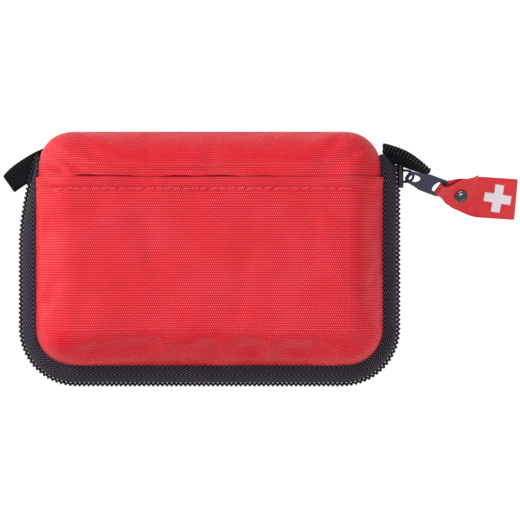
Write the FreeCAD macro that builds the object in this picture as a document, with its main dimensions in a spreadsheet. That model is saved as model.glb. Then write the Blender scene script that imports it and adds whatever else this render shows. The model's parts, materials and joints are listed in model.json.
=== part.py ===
"""Small zip pouch first aid kit, lying on its back.

The pouch is two shallow fabric trays that meet at the zip, half way up its depth.
+X is to the right along the pouch, +Y runs up to the spine, +Z is up out of the front.
The origin is the middle of the flat back. All sizes are in millimetres.
"""
import FreeCAD
import Part
import Sketcher
import os

Vector = FreeCAD.Vector
Rotation = FreeCAD.Rotation
Placement = FreeCAD.Placement

doc = FreeCAD.newDocument("FirstAidKit")

SIZES = {
    # pouch
    "front_depth": 19.1,       # zip plane to the front fabric
    "back_depth": 20.0,        # zip plane down to the back fabric
    "panel_half_width": 62.2,
    "panel_bottom": 38.0,      # below the origin
    "spine_line": 46.2,        # above the origin
    "panel_corner": 12.5,
    "panel_round": 11.5,       # soft edge between a face and its side
    "fabric": 0.8,
    "lining": 0.5,
    "ply_gap": 0.1,            # between two layers sewn together
    "seam_height": 7.5,        # zip plane to the fabric's seam with the tape
    "spine_side": 7.9,         # spine line down to where the side seams end
    "pocket_mouth": 29.7,
    "hinge_clear": 0.3,
    # zip
    "zip_reach": 7.3,          # panel's side out to the coil's outside
    "zip_reach_low": 8.5,      # the same at the bottom
    "zip_reach_corner": 8.5,   # added to the panel's corner radius
    "coil_thick": 1.65,
    "coil_deep": 1.9,
    "zip_gap": 1.0,            # between the two halves, for the slider's post
    "tape": 0.6,
    "tape_bend": 4.2,          # zip plane to where the tape leans inward
    "zip_short": 8.2,          # spine line down to the end of the zip
    "tail_thick": 0.6,
    "tail_left_out": 0.025,    # the spine's round corner out to where the tail starts
    "tail_right_out": 2.79,
    "tail_left_wide": 7.3,
    "tail_left_long": 20.7,
    "tail_right_wide": 5.0,
    "tail_right_long": 17.0,
    "binding_wide": 3.2,
    "binding_low": 5.5,        # zip plane to the binding's near edge
    "binding_thick": 0.9,
    # slider and pull
    "slider_down": 20.4,       # spine line down to the slider's low end
    "slider_long": 8.6,
    "slider_half": 3.6,
    "slider_plate": 0.9,
    "slider_clear": 0.3,
    "slider_flange": 0.8,
    "post_thick": 0.5,
    "post_long": 2.6,
    "crown_long": 5.0,
    "crown_rise": 4.0,
    "crown_bar": 0.8,
    "crown_wide": 1.0,
    "crown_foot": 0.3,
    "pull_long": 14.9,
    "pull_wide": 8.0,
    "pull_thick": 0.9,
    "pull_seat": 1.5,           # eye bar's middle to the inside of the crown's outer bar
    "pull_head_wide": 5.8,
    "pull_eye_bar": 1.1,
    "pull_eye_wide": 4.4,
    "pull_eye_long": 4.2,
    "pull_slot": 2.0,
    "pull_slot_wide": 5.8,
    "pull_bar": 1.4,
    "pull_yaw": -20.0,
    "pull_dip": 16.0,
    "pull_roll": 45.0,
    # ribbon tag
    "ribbon_dip": 4.0,
    "ribbon_ply": 0.6,
    "ribbon_wide": 15.0,
    "ribbon_neck": 5.0,
    "ribbon_long": 29.7,
    "ribbon_thick": 2.0,
    "ribbon_full_at": 13.0,
    "ribbon_eye": 1.25,
    "rivet_at": 7.7,
    "rivet_ply_wide": 10.5,
    "rivet_radius": 2.5,
    "rivet_rise": 1.1,
    "rivet_shank": 0.9,
    "cross_at": 22.0,
    "cross_span": 10.2,
    "cross_thick": 0.15,
    # bandages and bags in the back half
    "floor_gap": 0.1,
    "roll_radius": 10.0,
    "roll_long": 50.0,
    "roll_left_at": -38.0,
    "roll_space": 0.4,
    "roll_middle": 1.0,
    "elastic": 0.5,
    "elastic_wide": 20.0,
    "stack_gap": 0.3,
    "bandage_left": -5.6,
    "bandage_long": 55.0,
    "bandage_wide": 58.0,
    "bandage_high": 10.0,
    "bandage_low": -25.0,
    "glove_out": 8.8,          # past the centre of the panel's corner, sideways
    "glove_out_low": 6.5,      # the same, downward
    "glove_long": 28.0,
    "glove_wide": 70.0,
    "glove_high": 10.4,
    "tape_roll_radius": 17.0,
    "tape_roll_high": 9.8,
    "tape_roll_x": 12.5,
    "tape_roll_y": -7.0,
    "core_radius": 12.5,
    "core_wall": 1.5,
    "bag_corner": 3.0,
    "pin_long": 28.0,
    "pin_wide": 5.4,
    "pin_wire": 1.0,
    "pin_pitch": 6.2,
    "pin_x": 12.0,
    "pin_y": 14.0,
    "pin_count": 3,
    "tweezer_long": 72.0,
    "tweezer_spread": 9.0,
    "tweezer_leg": 1.0,
    "tweezer_wide": 7.0,
    "tweezer_x": 50.0,
    "tweezer_y": -31.0,
    # scissors
    "scissor_x": 4.0,
    "scissor_y": -6.0,
    "blade_thick": 1.2,
    "blade_long": 38.0,
    "blade_gap": 0.1,
    "tang_long": 17.0,
    "grip_long": 27.0,
    "grip_wide": 20.0,
    "grip_rim": 3.6,
    "grip_thick": 3.0,
    "grip_apart": 1.5,
    "scissor_pin": 2.0,
    "scissor_pin_clear": 0.1,
    "scissor_pin_head": 0.3,
    # inner pocket of the front half
    "mesh_height": 11.6,       # above the zip plane
    "mesh_thick": 0.4,
    "mesh_mouth": 30.0,
    "mesh_hem_wide": 3.0,
    "mesh_hem_thick": 0.8,
    "mesh_clear": 0.2,
    "plaster_long": 72.0,
    "plaster_wide": 19.0,
    "plaster_thick": 0.8,
    "plaster_count": 5,
    "sachet_long": 55.0,
    "sachet_wide": 30.0,
    "sachet_thick": 1.0,
    "sachet_count": 4,
    "compress_long": 42.0,
    "compress_high": 4.4,
    "packet_left": -50.0,
    "packet_low": -24.0,
    "packet_space": 2.5,
    "packet_gap": 0.2,
}

sheet = doc.addObject("Spreadsheet::Sheet", "Sizes")
for row, (word, value) in enumerate(SIZES.items(), start=1):
    sheet.set(f"A{row}", word)
    sheet.set(f"B{row}", str(value))
    sheet.setAlias(f"B{row}", word)
doc.recompute()

# places that follow from the sizes, as expressions on the sheet
ZIP_PLANE = "back_depth"
COIL_SIDE = "( panel_half_width + zip_reach )"
COIL_BOTTOM = "( panel_bottom + zip_reach_low )"
COIL_CORNER = "( panel_corner + zip_reach_corner )"
SPINE_FROM = "( spine_line - spine_side )"
ZIP_TOP = "( spine_line - zip_short )"
SLIDER_LOW = "( spine_line - slider_down )"
BINDING_TOP = "( spine_line - panel_corner )"

pieces = {}


def size(word):
    """The number that the sheet holds for a driving dimension."""
    return float(getattr(sheet, word))


def bound(text):
    """Write each driving dimension in an expression as a reference to the sheet."""
    words = []
    for word in text.split():
        words.append(f"Sizes.{word}" if word in SIZES else word)
    return " ".join(words)


def worked(text):
    """The value of such an expression now."""
    return float(sheet.evalExpression(bound(text)))


def new_body(label):
    """A body for one piece, kept under the piece's own name."""
    body = doc.addObject("PartDesign::Body", label)
    body.Label = label
    pieces[label] = body
    return body


def new_sketch(body, role, away="0", turn=None):
    """A sketch on one of the body's origin planes, moved out along the plane's normal."""
    sketch = body.newObject("Sketcher::SketchObject", body.Label + "_sketch")
    plane = [each for each in body.Origin.OriginFeatures if each.Role == role][0]
    sketch.AttachmentSupport = [(plane, "")]
    sketch.MapMode = "FlatFace"
    if turn is not None:
        sketch.AttachmentOffset = Placement(Vector(), Rotation(Vector(0, 0, 1), turn))
    sketch.setExpression("AttachmentOffset.Base.z", bound(away))
    return sketch


def pin_down(sketch, edge, end, x, y):
    """Fix one end of an edge at distances from the sketch's origin."""
    for kind, text in (("DistanceX", x), ("DistanceY", y)):
        number = sketch.addConstraint(Sketcher.Constraint(kind, -1, 1, edge, end, worked(text)))
        sketch.setExpression(f"Constraints[{number}]", bound(text))


def draw_polygon(sketch, corners):
    """A closed outline of straight edges through the given corners."""
    points = [Vector(worked(x), worked(y), 0) for x, y in corners]
    first = sketch.GeometryCount
    count = len(points)
    for step in range(count):
        sketch.addGeometry(Part.LineSegment(points[step], points[(step + 1) % count]), False)
    for step in range(count):
        after = first + (step + 1) % count
        sketch.addConstraint(Sketcher.Constraint("Coincident", first + step, 2, after, 1))
        pin_down(sketch, first + step, 1, corners[step][0], corners[step][1])


def draw_circle(sketch, x, y, radius):
    """A circle whose centre and radius follow the sheet."""
    middle = Vector(worked(x), worked(y), 0)
    circle = sketch.addGeometry(Part.Circle(middle, Vector(0, 0, 1), worked(radius)), False)
    pin_down(sketch, circle, 3, x, y)
    number = sketch.addConstraint(Sketcher.Constraint("Radius", circle, worked(radius)))
    sketch.setExpression(f"Constraints[{number}]", bound(radius))


def draw_path(sketch, corners):
    """A closed outline whose corners are (x, y, radius); a radius of "" leaves one sharp.

    Each rounded corner's arc has its centre pinned and meets its edges at right angles,
    so the outline's edges run along X or Y.
    """
    places = []
    for x, y, radius in corners:
        places.append((Vector(worked(x), worked(y), 0), worked(radius) if radius else 0.0))
    count = len(places)
    leave = []
    arrive = []
    for step in range(count):
        here, radius = places[step]
        before = (places[step - 1][0] - here).normalize()
        after = (places[(step + 1) % count][0] - here).normalize()
        arrive.append(here + before * radius)
        leave.append(here + after * radius)
    edges = []
    for step in range(count):
        here, radius = places[step]
        if radius:
            middle = arrive[step] + leave[step] - here
            bulge = middle + (here - middle).normalize() * radius
            arc = sketch.addGeometry(Part.Arc(arrive[step], bulge, leave[step]), False)
            turn = (arrive[step] - middle).cross(leave[step] - middle).z
            start, finish = (1, 2) if turn > 0 else (2, 1)
            edges.append((arc, start, finish))
        end = arrive[(step + 1) % count]
        line = sketch.addGeometry(Part.LineSegment(leave[step], end), False)
        edges.append((line, 1, 2))
    for step, (edge, _, finish) in enumerate(edges):
        after, start, _ = edges[(step + 1) % len(edges)]
        sketch.addConstraint(Sketcher.Constraint("Coincident", edge, finish, after, start))
    position = 0
    for step in range(count):
        x, y, radius = corners[step]
        edge, start, finish = edges[position]
        if radius:
            number = sketch.addConstraint(Sketcher.Constraint("Radius", edge, worked(radius)))
            sketch.setExpression(f"Constraints[{number}]", bound(radius))
            here = places[step][0]
            comes_along_x = abs(arrive[step].y - here.y) < abs(arrive[step].x - here.x)
            on_flat, on_upright = (start, finish) if comes_along_x else (finish, start)
            for kind, end, text in (("DistanceY", on_flat, y), ("DistanceX", on_upright, x)):
                number = sketch.addConstraint(Sketcher.Constraint(kind, -1, 1, edge, end, worked(text)))
                sketch.setExpression(f"Constraints[{number}]", bound(text))
            sketch.addConstraint(Sketcher.Constraint("Vertical", edge, 3, edge, on_flat))
            sketch.addConstraint(Sketcher.Constraint("Horizontal", edge, 3, edge, on_upright))
            position += 1
        else:
            pin_down(sketch, edge, 1, x, y)
        position += 1


def pad(body, sketch, length, reverse=False, middle=False):
    """Raise a sketch to a solid of the given length."""
    feature = body.newObject("PartDesign::Pad", body.Label + "_pad")
    feature.Profile = sketch
    feature.setExpression("Length", bound(length))
    feature.Reversed = reverse
    feature.Midplane = middle
    return feature


def pocket(body, sketch, length, reverse=False):
    """Cut a sketch out of the body; it has to take something away."""
    doc.recompute()
    before = body.Shape.Volume
    feature = body.newObject("PartDesign::Pocket", body.Label + "_pocket")
    feature.Profile = sketch
    feature.setExpression("Length", bound(length))
    feature.Reversed = reverse
    doc.recompute()
    if body.Shape.Volume >= before:
        raise RuntimeError(f"{body.Label}: the pocket cut nothing")
    return feature


def far_edges(shape, z):
    """Names of the edges that lie wholly at one height."""
    names = []
    for number, edge in enumerate(shape.Edges, start=1):
        box = edge.BoundBox
        if abs(box.ZMin - z) < 1e-4 and abs(box.ZMax - z) < 1e-4:
            names.append(f"Edge{number}")
    return names


def face_at(shape, z):
    """Name of the flat face at one height."""
    for number, face in enumerate(shape.Faces, start=1):
        box = face.BoundBox
        if abs(box.ZMin - z) < 1e-4 and abs(box.ZMax - z) < 1e-4:
            return f"Face{number}"
    raise RuntimeError("no face at that height")


def round_edges(body, base, names, radius):
    """Round named edges of the body."""
    feature = body.newObject("PartDesign::Fillet", body.Label + "_fillet")
    feature.Base = (base, names)
    feature.setExpression("Radius", bound(radius))
    return feature


# Each half is a tray: a panel with a soft round edge, open at the zip plane.
# "side" is 1 for the front half and -1 for the back half.

def tray(label, side, depth, inset, wall, mouth=None):
    """A fabric tray: inset is how far its outside lies within the panel's own outline."""
    body = new_body(label)
    rim = f"{ZIP_PLANE} + {side} * zip_gap / 2"
    half = f"panel_half_width - ( {inset} )"
    low = f"-1 * panel_bottom + ( {inset} )"
    top = f"spine_line - ( {inset} )"
    corner = f"panel_corner - ( {inset} )"
    sketch = new_sketch(body, "XY_Plane", rim)
    draw_path(sketch, [
        (f"-1 * ( {half} )", low, corner),
        (half, low, corner),
        (half, top, corner),
        (f"-1 * ( {half} )", top, corner),
    ])
    block = pad(body, sketch, f"{depth} - ( {inset} ) - zip_gap / 2", reverse=side < 0)
    doc.recompute()
    face_height = worked(f"{ZIP_PLANE} + {side} * ( {depth} - ( {inset} ) )")
    rounded = round_edges(body, block, far_edges(block.Shape, face_height), f"panel_round - ( {inset} )")
    doc.recompute()
    hollow = body.newObject("PartDesign::Thickness", label + "_hollow")
    hollow.Base = (rounded, [face_at(rounded.Shape, worked(rim))])
    hollow.setExpression("Value", bound(wall))
    hollow.Reversed = True
    hollow.Mode = 0
    hollow.Join = 0
    doc.recompute()
    # the tape takes the place of the wall from the zip up to the seam, except along the spine
    window = new_sketch(body, "XY_Plane", f"{ZIP_PLANE} + {side} * seam_height")
    window_top = SPINE_FROM if mouth is None else "2 * spine_line"
    draw_polygon(window, [
        (f"-1 * {COIL_SIDE}", f"-1 * {COIL_BOTTOM}"),
        (COIL_SIDE, f"-1 * {COIL_BOTTOM}"),
        (COIL_SIDE, window_top),
        (f"-1 * {COIL_SIDE}", window_top),
    ])
    pocket(body, window, "seam_height", reverse=side < 0)
    if mouth is not None:
        open_end = new_sketch(body, "XY_Plane", ZIP_PLANE)
        draw_polygon(open_end, [
            (f"-1 * {COIL_SIDE}", mouth),
            (COIL_SIDE, mouth),
            (COIL_SIDE, "2 * spine_line"),
            (f"-1 * {COIL_SIDE}", "2 * spine_line"),
        ])
        pocket(body, open_end, "2 * front_depth", reverse=True)
    return body


tray("front_shell", 1, "front_depth", "0", "fabric")
tray("back_shell", -1, "back_depth", "0", "fabric")
tray("front_lining", 1, "front_depth", "fabric + ply_gap", "lining")
tray("back_lining", -1, "back_depth", "fabric + ply_gap", "lining")
tray("slip_pocket", 1, "front_depth", "-1 * fabric - ply_gap", "fabric", mouth="pocket_mouth")


# The zip runs down one side, along the bottom and up the other side.

def band_outline(sketch, half, low, corner, wide, left_top, right_top):
    """A U-shaped band of one width, open towards the spine."""
    inner_corner = f"{corner} - {wide}"
    draw_path(sketch, [
        (f"-1 * ( {half} )", left_top, ""),
        (f"-1 * ( {half} )", f"-1 * ( {low} )", corner),
        (half, f"-1 * ( {low} )", corner),
        (half, right_top, ""),
        (f"{half} - {wide}", right_top, ""),
        (f"{half} - {wide}", f"-1 * ( {low} ) + {wide}", inner_corner),
        (f"-1 * ( {half} ) + {wide}", f"-1 * ( {low} ) + {wide}", inner_corner),
        (f"-1 * ( {half} ) + {wide}", left_top, ""),
    ])


def zip_coil(label, side, right_top):
    """One half of the nylon coil, as its outer form."""
    body = new_body(label)
    sketch = new_sketch(body, "XY_Plane", f"{ZIP_PLANE} + {side} * zip_gap / 2")
    band_outline(sketch, COIL_SIDE, COIL_BOTTOM, COIL_CORNER, "coil_thick",
                 ZIP_TOP, right_top)
    pad(body, sketch, "coil_deep", reverse=side < 0)


TAPE_SIDE = f"{COIL_SIDE} - coil_thick - ply_gap / 2"
TAPE_BOTTOM = f"{COIL_BOTTOM} - coil_thick - ply_gap / 2"
TAPE_CORNER = f"{COIL_CORNER} - coil_thick - ply_gap / 2"


def zip_tape(label, side):
    """The upright part of one tape, right behind the coil."""
    body = new_body(label)
    sketch = new_sketch(body, "XY_Plane", f"{ZIP_PLANE} + {side} * zip_gap / 2")
    band_outline(sketch, TAPE_SIDE, TAPE_BOTTOM, TAPE_CORNER, "tape", ZIP_TOP, ZIP_TOP)
    pad(body, sketch, "tape_bend - zip_gap / 2", reverse=side < 0)


def tape_skirt(label, side):
    """The rest of the tape, which leans in from the upright part to the fabric's seam."""
    body = new_body(label)
    levels = [
        ("tape_bend", TAPE_SIDE, TAPE_BOTTOM, TAPE_CORNER),
        ("seam_height - ply_gap", "panel_half_width", "panel_bottom", "panel_corner"),
    ]
    sections = []
    for height, half, low, corner in levels:
        sketch = new_sketch(body, "XY_Plane", f"{ZIP_PLANE} + {side} * ( {height} )")
        band_outline(sketch, half, low, corner, "tape", ZIP_TOP, ZIP_TOP)
        sections.append(sketch)
    loft = body.newObject("PartDesign::AdditiveLoft", label + "_loft")
    loft.Profile = sections[0]
    loft.Sections = sections[1:]
    loft.Ruled = True


def seam_binding(label, side):
    """The strip that covers the raw seam on the inside, ending where the spine's corners start."""
    body = new_body(label)
    sketch = new_sketch(body, "XY_Plane", f"{ZIP_PLANE} + {side} * binding_low")
    inner = "fabric + lining + 5 * ply_gap"
    band_outline(sketch, f"panel_half_width - ( {inner} )", f"panel_bottom - ( {inner} )",
                 f"panel_corner - ( {inner} )", "binding_thick", BINDING_TOP, BINDING_TOP)
    pad(body, sketch, "binding_wide", reverse=side < 0)


zip_coil("zip_coil_front", 1, f"{SLIDER_LOW} - slider_clear")
zip_coil("zip_coil_back", -1, ZIP_TOP)
zip_tape("zip_tape_front", 1)
zip_tape("zip_tape_back", -1)
tape_skirt("tape_skirt_front", 1)
tape_skirt("tape_skirt_back", -1)
seam_binding("seam_binding_front", 1)
seam_binding("seam_binding_back", -1)


def zip_tail(label, start, yaw, long, wide):
    """The end of the two tapes, sewn in at the spine and sticking out."""
    body = new_body(label)
    sketch = new_sketch(body, "XY_Plane", "-1 * tail_thick / 2")
    draw_polygon(sketch, [
        ("0", f"-1 * {wide} / 2"),
        (long, f"-1 * {wide} / 2"),
        (long, f"{wide} / 2"),
        ("0", f"{wide} / 2"),
    ])
    pad(body, sketch, "tail_thick")
    body.Placement = Placement(start, Rotation(yaw, 0, 0))


def corner_point(side, angle, out):
    """A point out from the round corner between a side (-1 left, 1 right) and the spine."""
    centre = Vector(
        side * (size("panel_half_width") - size("panel_corner")),
        size("spine_line") - size("panel_corner"),
        worked(ZIP_PLANE))
    away = Rotation(angle, 0, 0).multVec(Vector(size("panel_corner") + size(out), 0, 0))
    return centre + away


# each tail starts at an angle about its corner's centre and sticks out at a yaw
TAIL_LEFT_AT = 141.5
TAIL_LEFT_YAW = 226.0
TAIL_RIGHT_AT = 42.35
TAIL_RIGHT_YAW = -31.0
zip_tail("zip_tail_left", corner_point(-1, TAIL_LEFT_AT, "tail_left_out"),
         TAIL_LEFT_YAW, "tail_left_long", "tail_left_wide")
zip_tail("zip_tail_right", corner_point(1, TAIL_RIGHT_AT, "tail_right_out"),
         TAIL_RIGHT_YAW, "tail_right_long", "tail_right_wide")


# The slider stands on the right side's coil, outer plate outward.

coil_inside = f"{COIL_SIDE} - coil_thick"
outer_face = f"{COIL_SIDE} + slider_clear"
inner_face = f"{coil_inside} - ply_gap / 2 - tape - slider_clear"

body = new_body("slider_body")
section = new_sketch(body, "XZ_Plane", f"-1 * {SLIDER_LOW}")
flange_tip = f"{coil_inside} - ply_gap / 2 + slider_clear"
plate_out = f"{outer_face} + slider_plate"
draw_polygon(section, [
    (plate_out, f"{ZIP_PLANE} - slider_half"),
    (plate_out, f"{ZIP_PLANE} + slider_half"),
    (flange_tip, f"{ZIP_PLANE} + slider_half"),
    (flange_tip, f"{ZIP_PLANE} + slider_half - slider_flange"),
    (outer_face, f"{ZIP_PLANE} + slider_half - slider_flange"),
    (outer_face, f"{ZIP_PLANE} - slider_half + slider_flange"),
    (flange_tip, f"{ZIP_PLANE} - slider_half + slider_flange"),
    (flange_tip, f"{ZIP_PLANE} - slider_half"),
])
pad(body, section, "slider_long", reverse=True)
post = new_sketch(body, "XY_Plane", f"{ZIP_PLANE} - post_thick / 2")
post_top = f"{SLIDER_LOW} + slider_long - post_thick"
draw_polygon(post, [
    (inner_face, f"{post_top} - post_long"),
    (outer_face, f"{post_top} - post_long"),
    (outer_face, post_top),
    (inner_face, post_top),
])
pad(body, post, "post_thick")
inner_plate = new_sketch(body, "XZ_Plane", f"-1 * {SLIDER_LOW}")
draw_polygon(inner_plate, [
    (f"{inner_face} - slider_plate", f"{ZIP_PLANE} - slider_half"),
    (inner_face, f"{ZIP_PLANE} - slider_half"),
    (inner_face, f"{ZIP_PLANE} + slider_half"),
    (f"{inner_face} - slider_plate", f"{ZIP_PLANE} + slider_half"),
])
pad(body, inner_plate, "slider_long", reverse=True)

crown_foot_at = f"{plate_out} + ply_gap / 2"
crown_low = f"{SLIDER_LOW} + slider_long / 2 - crown_long / 2"
body = new_body("slider_crown")
ring = new_sketch(body, "XY_Plane", f"{ZIP_PLANE} - crown_wide / 2")
draw_path(ring, [
    (crown_foot_at, crown_low, ""),
    (f"{crown_foot_at} + crown_rise", crown_low, "crown_bar"),
    (f"{crown_foot_at} + crown_rise", f"{crown_low} + crown_long", "crown_bar"),
    (crown_foot_at, f"{crown_low} + crown_long", ""),
])
draw_polygon(ring, [
    (f"{crown_foot_at} + crown_foot", f"{crown_low} + crown_bar"),
    (f"{crown_foot_at} + crown_rise - crown_bar", f"{crown_low} + crown_bar"),
    (f"{crown_foot_at} + crown_rise - crown_bar", f"{crown_low} + crown_long - crown_bar"),
    (f"{crown_foot_at} + crown_foot", f"{crown_low} + crown_long - crown_bar"),
])
pad(body, ring, "crown_wide")

# The puller hangs in the crown by the bar at the end of its eye, tipped and rolled.

pull_pivot = Vector(
    worked(f"{crown_foot_at} + crown_rise - crown_bar - pull_seat"),
    worked(f"{SLIDER_LOW} + slider_long / 2"),
    worked(ZIP_PLANE))
pull_turn = Rotation(size("pull_yaw"), size("pull_dip"), size("pull_roll"))

body = new_body("puller")
outline = new_sketch(body, "XY_Plane", "-1 * pull_thick / 2")
eye_start = "pull_eye_bar / 2"
shoulder = "pull_eye_bar / 2 + pull_eye_long"
tip = "pull_long - pull_eye_bar / 2"
draw_polygon(outline, [
    ("-1 * pull_eye_bar / 2", "-1 * pull_head_wide / 2 + pull_eye_bar"),
    (eye_start, "-1 * pull_head_wide / 2"),
    (shoulder, "-1 * pull_wide / 2 + pull_eye_bar"),
    (f"{shoulder} + pull_eye_bar * 2", "-1 * pull_wide / 2"),
    (f"{tip} - pull_eye_bar", "-1 * pull_wide / 2"),
    (tip, "-1 * pull_wide / 2 + pull_eye_bar"),
    (tip, "pull_wide / 2 - pull_eye_bar"),
    (f"{tip} - pull_eye_bar", "pull_wide / 2"),
    (f"{shoulder} + pull_eye_bar * 2", "pull_wide / 2"),
    (shoulder, "pull_wide / 2 - pull_eye_bar"),
    (eye_start, "pull_head_wide / 2"),
    ("-1 * pull_eye_bar / 2", "pull_head_wide / 2 - pull_eye_bar"),
])
draw_polygon(outline, [
    (eye_start, "-1 * pull_eye_wide / 2 + pull_eye_bar / 2"),
    (f"{eye_start} + pull_eye_bar", "-1 * pull_eye_wide / 2"),
    (f"{shoulder} - pull_eye_bar", "-1 * pull_eye_wide / 2"),
    (shoulder, "0"),
    (f"{shoulder} - pull_eye_bar", "pull_eye_wide / 2"),
    (f"{eye_start} + pull_eye_bar", "pull_eye_wide / 2"),
    (eye_start, "pull_eye_wide / 2 - pull_eye_bar / 2"),
])
slot_far = f"{tip} - pull_bar"
draw_polygon(outline, [
    (f"{slot_far} - pull_slot", "-1 * pull_slot_wide / 2"),
    (slot_far, "-1 * pull_slot_wide / 2"),
    (slot_far, "pull_slot_wide / 2"),
    (f"{slot_far} - pull_slot", "pull_slot_wide / 2"),
])
pad(body, outline, "pull_thick")
body.Placement = Placement(pull_pivot, pull_turn)

# The ribbon goes round the slot's bar, is riveted, widens and ends in its fold.

bar_middle = Vector(worked(f"{tip} - pull_bar / 2"), 0, 0)
ribbon_base = pull_pivot + pull_turn.multVec(bar_middle)
ribbon_turn = pull_turn * Rotation(0, size("ribbon_dip"), 0)
ribbon_place = Placement(ribbon_base, ribbon_turn)
rivet_twist = -0.5 * size("pull_roll")
flat_twist = -1.0 * size("pull_roll")

body = new_body("ribbon_tag")
loop = new_sketch(body, "XZ_Plane")
draw_circle(loop, "0", "0", "ribbon_eye + ribbon_ply")
draw_circle(loop, "0", "0", "ribbon_eye")
pad(body, loop, "ribbon_neck", middle=True)
doc.recompute()
sections = []
for distance, wide, thick, twist in (
        ("ribbon_eye + ribbon_ply / 2", "ribbon_neck", "ribbon_thick - ribbon_ply", 0.0),
        ("rivet_at - rivet_radius", "rivet_ply_wide * 0.8", "ribbon_thick - ribbon_ply", rivet_twist),
        ("rivet_at + rivet_radius", "rivet_ply_wide", "ribbon_thick - ribbon_ply", rivet_twist),
        ("ribbon_full_at", "ribbon_wide", "ribbon_thick", flat_twist),
        ("ribbon_long", "ribbon_wide", "ribbon_thick", flat_twist)):
    sketch = new_sketch(body, "YZ_Plane", distance, turn=twist)
    draw_polygon(sketch, [
        (f"-1 * {wide} / 2", f"-1 * ( {thick} ) / 2"),
        (f"{wide} / 2", f"-1 * ( {thick} ) / 2"),
        (f"{wide} / 2", f"( {thick} ) / 2"),
        (f"-1 * {wide} / 2", f"( {thick} ) / 2"),
    ])
    sections.append(sketch)
loft = body.newObject("PartDesign::AdditiveLoft", "ribbon_tag_loft")
loft.Profile = sections[0]
loft.Sections = sections[1:]
loft.Ruled = True
doc.recompute()
hole = new_sketch(body, "XY_Plane", "ribbon_thick * 2")
hole.AttachmentOffset = Placement(Vector(), Rotation(Vector(1, 0, 0), rivet_twist))
hole.setExpression("AttachmentOffset.Base.y", bound(f"-1 * ribbon_thick * 2 * sin( {rivet_twist} )"))
hole.setExpression("AttachmentOffset.Base.z", bound(f"ribbon_thick * 2 * cos( {rivet_twist} )"))
draw_circle(hole, "rivet_at", "0", "rivet_shank + ply_gap")
pocket(body, hole, "ribbon_thick * 4")
body.Placement = ribbon_place

rivet_place = ribbon_place * Placement(Vector(size("rivet_at"), 0, 0), Rotation(0, 0, rivet_twist))
for label, side in (("rivet_cap", 1), ("rivet_stud", -1)):
    body = new_body(label)
    rest = new_sketch(body, "XY_Plane", f"{side} * ( ( ribbon_thick - ribbon_ply ) / 2 + ply_gap )")
    draw_circle(rest, "0", "0", "rivet_radius")
    head = pad(body, rest, "rivet_rise", reverse=side < 0)
    doc.recompute()
    top = side * worked("( ribbon_thick - ribbon_ply ) / 2 + ply_gap + rivet_rise")
    round_edges(body, head, far_edges(head.Shape, top), "rivet_rise * 0.8")
    doc.recompute()
    if side > 0:
        shank = new_sketch(body, "XY_Plane", "-1 * ( ribbon_thick - ribbon_ply ) / 2")
        draw_circle(shank, "0", "0", "rivet_shank")
        pad(body, shank, "ribbon_thick - ribbon_ply + ply_gap")
    body.Placement = rivet_place

body = new_body("ribbon_cross")
plus = new_sketch(body, "XY_Plane", "ribbon_thick / 2 + ply_gap")
span = "cross_span / 2"
arm = "cross_span / 6"
draw_polygon(plus, [
    (f"-1 * {arm}", f"-1 * {span}"), (arm, f"-1 * {span}"),
    (arm, f"-1 * {arm}"), (span, f"-1 * {arm}"),
    (span, arm), (arm, arm),
    (arm, span), (f"-1 * {arm}", span),
    (f"-1 * {arm}", arm), (f"-1 * {span}", arm),
    (f"-1 * {span}", f"-1 * {arm}"), (f"-1 * {arm}", f"-1 * {arm}"),
])
pad(body, plus, "cross_thick")
body.Placement = ribbon_place * Placement(Vector(size("cross_at"), 0, 0), Rotation(0, 0, flat_twist))


# What the kit holds. Heights stack up from the back half's lining.

floor = worked(ZIP_PLANE) - size("back_depth") + size("fabric") + size("lining") + size("ply_gap")
floor += size("floor_gap")


def bag(label, corner, long, wide, high, rounding="bag_corner"):
    """A flat bag or packet with round corners, standing on its lowest corner's height."""
    body = new_body(label)
    sketch = new_sketch(body, "XY_Plane")
    draw_path(sketch, [
        ("0", "0", rounding), (long, "0", rounding),
        (long, wide, rounding), ("0", wide, rounding),
    ])
    pad(body, sketch, high)
    body.Placement = Placement(corner, Rotation())
    return body


def ring_of(label, outer, inner, high, place):
    """A plain ring."""
    body = new_body(label)
    sketch = new_sketch(body, "XY_Plane")
    draw_circle(sketch, "0", "0", outer)
    draw_circle(sketch, "0", "0", inner)
    pad(body, sketch, high)
    body.Placement = Placement(place, Rotation())


roll_pitch = 2 * size("roll_radius") + size("roll_space")
roll_height = floor + size("roll_radius")
for number, label in enumerate(("gauze_roll_left", "gauze_roll_right")):
    roll = doc.addObject("Part::Cylinder", label)
    roll.Label = label
    roll.setExpression("Radius", bound("roll_radius"))
    roll.setExpression("Height", bound("roll_long"))
    start = Vector(
        size("roll_left_at") + number * roll_pitch,
        size("roll_middle") + size("roll_long") / 2,
        roll_height)
    roll.Placement = Placement(start, Rotation(Vector(1, 0, 0), 90))
    pieces[label] = roll

body = new_body("elastic_band")
hoop = new_sketch(body, "XZ_Plane", "-1 * roll_middle")
band_left = "roll_left_at - roll_radius - stack_gap / 2"
band_right = "roll_left_at + 3 * roll_radius + roll_space + stack_gap / 2"
band_low = f"{ZIP_PLANE} - back_depth + fabric + lining + ply_gap + floor_gap"
band_top = f"{band_low} + 2 * roll_radius + stack_gap / 2"
draw_polygon(hoop, [
    (f"{band_left} - elastic", band_low),
    (band_left, band_low),
    (band_left, band_top),
    (band_right, band_top),
    (band_right, band_low),
    (f"{band_right} + elastic", band_low),
    (f"{band_right} + elastic", f"{band_top} + elastic"),
    (f"{band_left} - elastic", f"{band_top} + elastic"),
])
pad(body, hoop, "elastic_wide", middle=True)

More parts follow.
